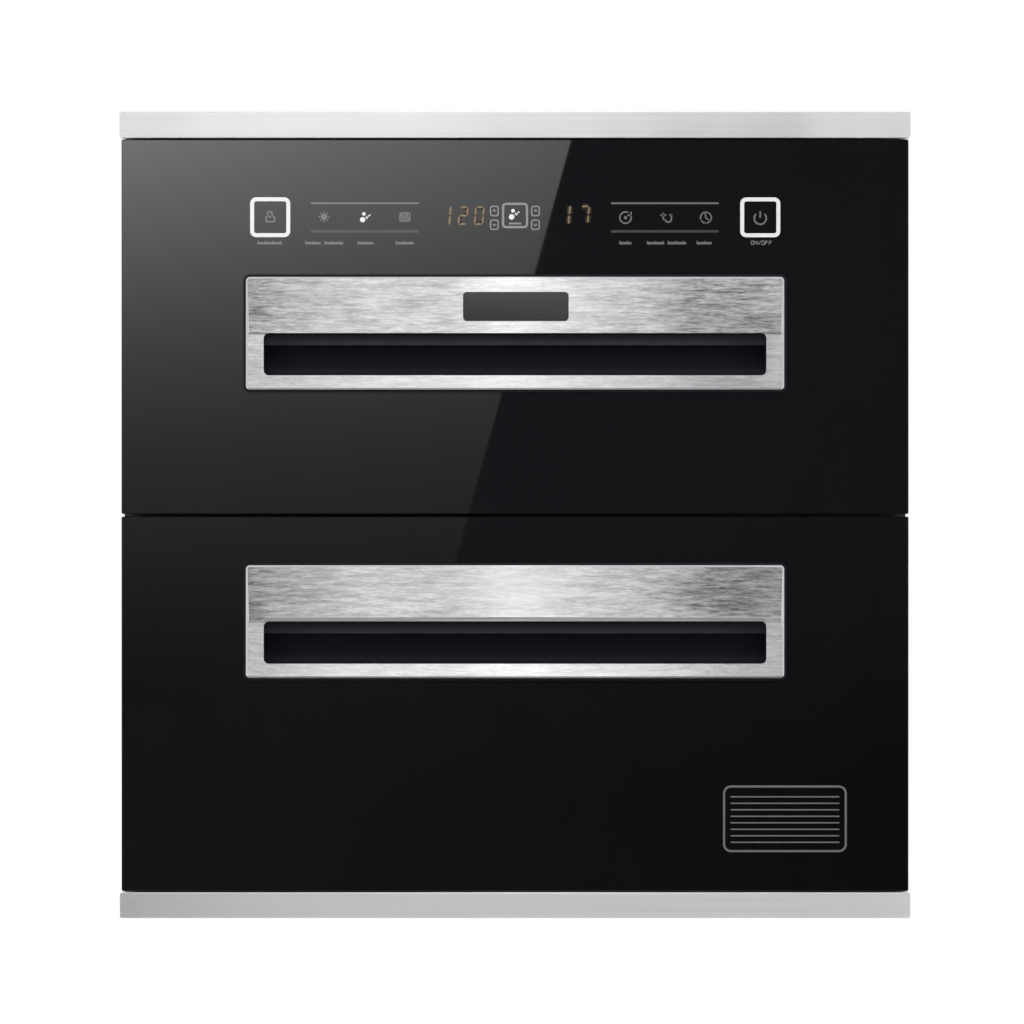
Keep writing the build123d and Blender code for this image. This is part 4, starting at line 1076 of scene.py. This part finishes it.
rack_steel = metal(
    "electropolished_wire", (0.60, 0.60, 0.61), (0.72, 0.72, 0.73), handling, 60.0, (0.12, 0.24), 0.03
)
for name, (tine_rows, tine_height) in rack_layout.items():
    base = chamber_floors[name] + base_rise
    rim = chamber_floors[name] + rim_rise
    over = rim + (rim_wire + rack_wire) / 2
    corners = wide_corners(rim_side, (rim_front, rim), (rim_rear, rim))
    wires = [wire(softened(corners, rim_corner, True), rim_wire, 14, True)]
    for y in np.linspace(32.5, 299.5, 11):
        hung = [
            (-rim_side, y, over), (-leg_side, y, over), (-leg_side, y, base), (leg_side, y, base),
            (leg_side, y, over), (rim_side, y, over),
        ]
        wires.append(wire(softened(hung, cross_bend), rack_wire))
    lengthwise = base + rack_wire
    front, rear = rim_front + end_inset, rim_rear - end_inset
    top = rim + rack_wire / 2
    for x in np.linspace(-leg_side + 2 * wire_bend, leg_side - 2 * wire_bend, 11):
        hung = [(x, front, top), (x, front, lengthwise), (x, rear, lengthwise), (x, rear, top)]
        wires.append(wire(softened(hung, wire_bend), rack_wire))
    carrier = lengthwise + rack_wire
    carrier_half = leg_side - wire_bend
    for y in tine_rows:
        wires.append(wire([(-carrier_half, y, carrier), (carrier_half, y, carrier)], rack_wire))
        for i in range(tines_per_row):
            x = (i - (tines_per_row - 1) / 2) * tine_pitch
            wires.append(wire([(x, y, carrier), (x, y, carrier + rack_wire / 2 + tine_height)], rack_wire))
    rack = piece(name + "_rack_wires", wires, rack_steel, name + "_drawer")
    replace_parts(rack, name + "_rack")

# ---- Quartz heaters
# Two frosted quartz tubes with wound heating coils inside, held in ceramic sockets in front of a polished
# reflector, behind a guard of upright wires.

tube_y = 334.0
tube_heights = (102.0, 176.0)
tube_half = 190.0
coil_radius = 2.6
coil_wire = 0.8
coil_pitch = 2.4
coil_half = 176.0
guard_wire = 2.5
guard_rear = 350.0
guard_half = 208.5
guard_y = 323.0
guard_ends = (76.0, 202.0)
guard_margin = 26.0


def tube_glass(name, tint, clear, bending, scale, rough):
    """Glass or quartz that lets light through, with a faint cloud in its roughness."""
    made, tree, shader = material(name)
    cloud = noise(tree, places(tree), scale)
    feed(
        shader, ("Base Color", tint), ("Transmission Weight", clear), ("IOR", bending),
        ("Roughness", ramp(tree, cloud, low=rough[0], high=rough[1])),
    )
    return made


def glass_tube(y, z, radius, wall, half):
    """A tube along X: its section runs out along the outside, round the ends and back along the bore."""
    outline = np.array([(-half, radius - wall), (-half, radius), (half, radius), (half, radius - wall)])
    turn = full_turn(32)
    x, r = outline.T[:, :, None]
    return swept(joined(x, y + r * np.cos(turn), z + r * np.sin(turn)), round_rows=True)


def heating_coil(y, z):
    """A round wire wound along X: its circle is drawn between the helix's radius and the direction square to
    that and to the wire."""
    turns = 2 * coil_half / coil_pitch
    share = np.linspace(0, 1, int(turns * 10))
    angle = share * turns * 2 * np.pi
    outward = joined(0.0, np.cos(angle), np.sin(angle))
    path = joined(-coil_half + 2 * coil_half * share, y, z) + coil_radius * outward
    beside = np.cross(unit(np.gradient(path, axis=0)), outward)
    return swept(ringed(path, coil_wire / 2, outward[:, None], beside[:, None], 6))


def guard_bar(half, front, z):
    """A wire across a chamber, bent back at both ends to its rear wall."""
    bar = [(-half, guard_rear, z), (-half, front, z), (half, front, z), (half, guard_rear, z)]
    return wire(softened(bar, cross_bend), guard_wire)


quartz = tube_glass("frosted_quartz", (0.94, 0.93, 0.90), 0.92, 1.46, 500.0, (0.12, 0.3))
tubes = [glass_tube(tube_y, z, 6.0, 1.0, tube_half) for z in tube_heights]
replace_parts(piece("quartz_tubes", tubes, quartz, "cabinet"), "heater_tubes")
coil_alloy = metal("coil_alloy", (0.20, 0.18, 0.16), (0.34, 0.30, 0.26), handling, 120.0, (0.35, 0.55), 0.1)
coils = [heating_coil(tube_y, z) for z in tube_heights]
piece("heating_coils", coils, coil_alloy, "cabinet")

ceramic = coat("socket_ceramic", (0.68, 0.65, 0.58), (0.80, 0.77, 0.71), rubber, 700.0, (0.55, 0.75), 0.25)
dress(ceramic, "heater_sockets", "lamp_sockets")
reflector_steel = metal("reflector_steel", 0.68, 0.76, handling, 16.0, (0.08, 0.2), 0.05, 0.0003)
dress(reflector_steel, "heater_reflector")

guard = [guard_bar(guard_half, guard_y, z) for z in guard_ends]
upright_y = guard_y - guard_wire
for x in np.linspace(-guard_half + guard_margin, guard_half - guard_margin, 17):
    upright = [(x, upright_y, guard_ends[0] - guard_wire), (x, upright_y, guard_ends[1] + guard_wire)]
    guard.append(wire(upright, guard_wire))
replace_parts(piece("heater_guard_wires", guard, rack_steel, "cabinet"), "heater_guard")

# ---- Ozone lamp
# A clear tube across the top of the upper chamber, with capped ends and electrodes, held in two sockets
# behind a pair of guard bars.

lamp_y = 336.0
lamp_z = 540.0
lamp_half = 113.0
electrode_inset = 9.0
lamp_bar_half = 133.0
lamp_bar_y = 323.5
lamp_bar_rise = 3.75
clear_tube = tube_glass("clear_tube", (0.93, 0.95, 1.0), 0.96, 1.47, 40.0, (0.02, 0.09))
tube = [glass_tube(lamp_y, lamp_z, 7.5, 0.9, lamp_half)]
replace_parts(piece("ozone_tube", tube, clear_tube, "cabinet"), "ozone_lamp")
cap_profile = [(6.5, 0.0), (7.7, 0.0), (7.9, 0.4), (7.9, 9.5), (7.6, 10.0), (6.4, 10.0)]
electrode_profile = [(0.3, 0.0), (0.9, 0.0), (0.9, 9.0), (2.4, 10.0), (2.4, 15.0), (0.8, 16.0)]
lamp_ends = []
for side, way in ((-1, "+X"), (1, "-X")):
    lamp_ends.append(turned(cap_profile, 32, (side * lamp_half, lamp_y, lamp_z), way))
    electrode_foot = (side * (lamp_half - electrode_inset), lamp_y, lamp_z)
    lamp_ends.append(turned(electrode_profile, 16, electrode_foot, way))
lamp_metal = metal(
    "lamp_cap_metal", (0.58, 0.58, 0.59), (0.70, 0.70, 0.71), handling, 90.0, (0.2, 0.35), 0.05
)
piece("lamp_ends", lamp_ends, lamp_metal, "cabinet")
bars = [guard_bar(lamp_bar_half, lamp_bar_y, lamp_z + rise) for rise in (-lamp_bar_rise, lamp_bar_rise)]
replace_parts(piece("lamp_guard_bars", bars, rack_steel, "cabinet"), "lamp_guard")

# ---- Hot air and electrics
# Behind the upper chamber, a finned aluminium heater and a fan with a moulded frame and rotor. Boards,
# sensors and the ozone generator sit out of sight in the case and behind the glass.

dress(metal(
    "fin_aluminium", (0.58, 0.59, 0.60), (0.70, 0.71, 0.72), brushing, (300.0, 30.0), (0.3, 0.45)
), "air_heater")
dress(coat(
    "board_green", (0.010, 0.085, 0.035), (0.018, 0.130, 0.055), spangle, 260.0, (0.3, 0.45), 0.05
), "control_board", "power_board")
motor_paint = coat("motor_paint", (0.24, 0.24, 0.26), (0.30, 0.30, 0.32), peel, 900.0, (0.4, 0.55))
dress(motor_paint, "fan_motor")
for name, dark, light, scale, rough, *moulded in (
    ("fan_plastic", (0.022, 0.022, 0.025), (0.034, 0.034, 0.038), 1600.0, (0.4, 0.55),
     "fan_housing", "fan_rotor"),
    ("tray_plastic", (0.020, 0.020, 0.022), (0.030, 0.030, 0.033), 1800.0, (0.45, 0.6),
     "control_tray", "board_tray"),
    ("display_face", (0.030, 0.020, 0.014), (0.042, 0.028, 0.020), 1200.0, (0.2, 0.3), "display_module"),
    ("generator_shell", (0.62, 0.62, 0.60), (0.72, 0.72, 0.70), 900.0, (0.3, 0.45), "ozone_generator"),
    ("gland_nylon", 0.022, 0.036, 1500.0, (0.4, 0.55), "mains_gland"),
    ("cutout_body", (0.32, 0.27, 0.20), (0.42, 0.36, 0.28), 1200.0, (0.45, 0.6), "thermal_cutouts"),
    ("sensor_white", (0.70, 0.70, 0.66), (0.80, 0.80, 0.77), 1200.0, (0.4, 0.55), "door_sensors"),
):
    dress(coat(name, dark, light, rubber, scale, rough), *moulded)

# ---- Insulation
# Mineral wool wrapped round the lower chamber and rigid foam in the drawer fronts. Sheet and glass close
# them in, so neither shows.

fibre = speckle("fibre", 220.0, 0.3, 0.7, 6.0, 0.5, 2.4)
wool = coat("mineral_wool", (0.42, 0.35, 0.18), (0.66, 0.60, 0.40), fibre, 240.0, (0.9, 1.0), 0.8, 0.001)
dress(wool, "lower_insulation")
foam = coat("rigid_foam", (0.70, 0.67, 0.58), (0.82, 0.80, 0.72), fibre, 900.0, (0.8, 0.95), 0.5, 0.0004)
dress(foam, *both("door_core"))

bpy.context.scene.view_settings.view_transform = "Standard"
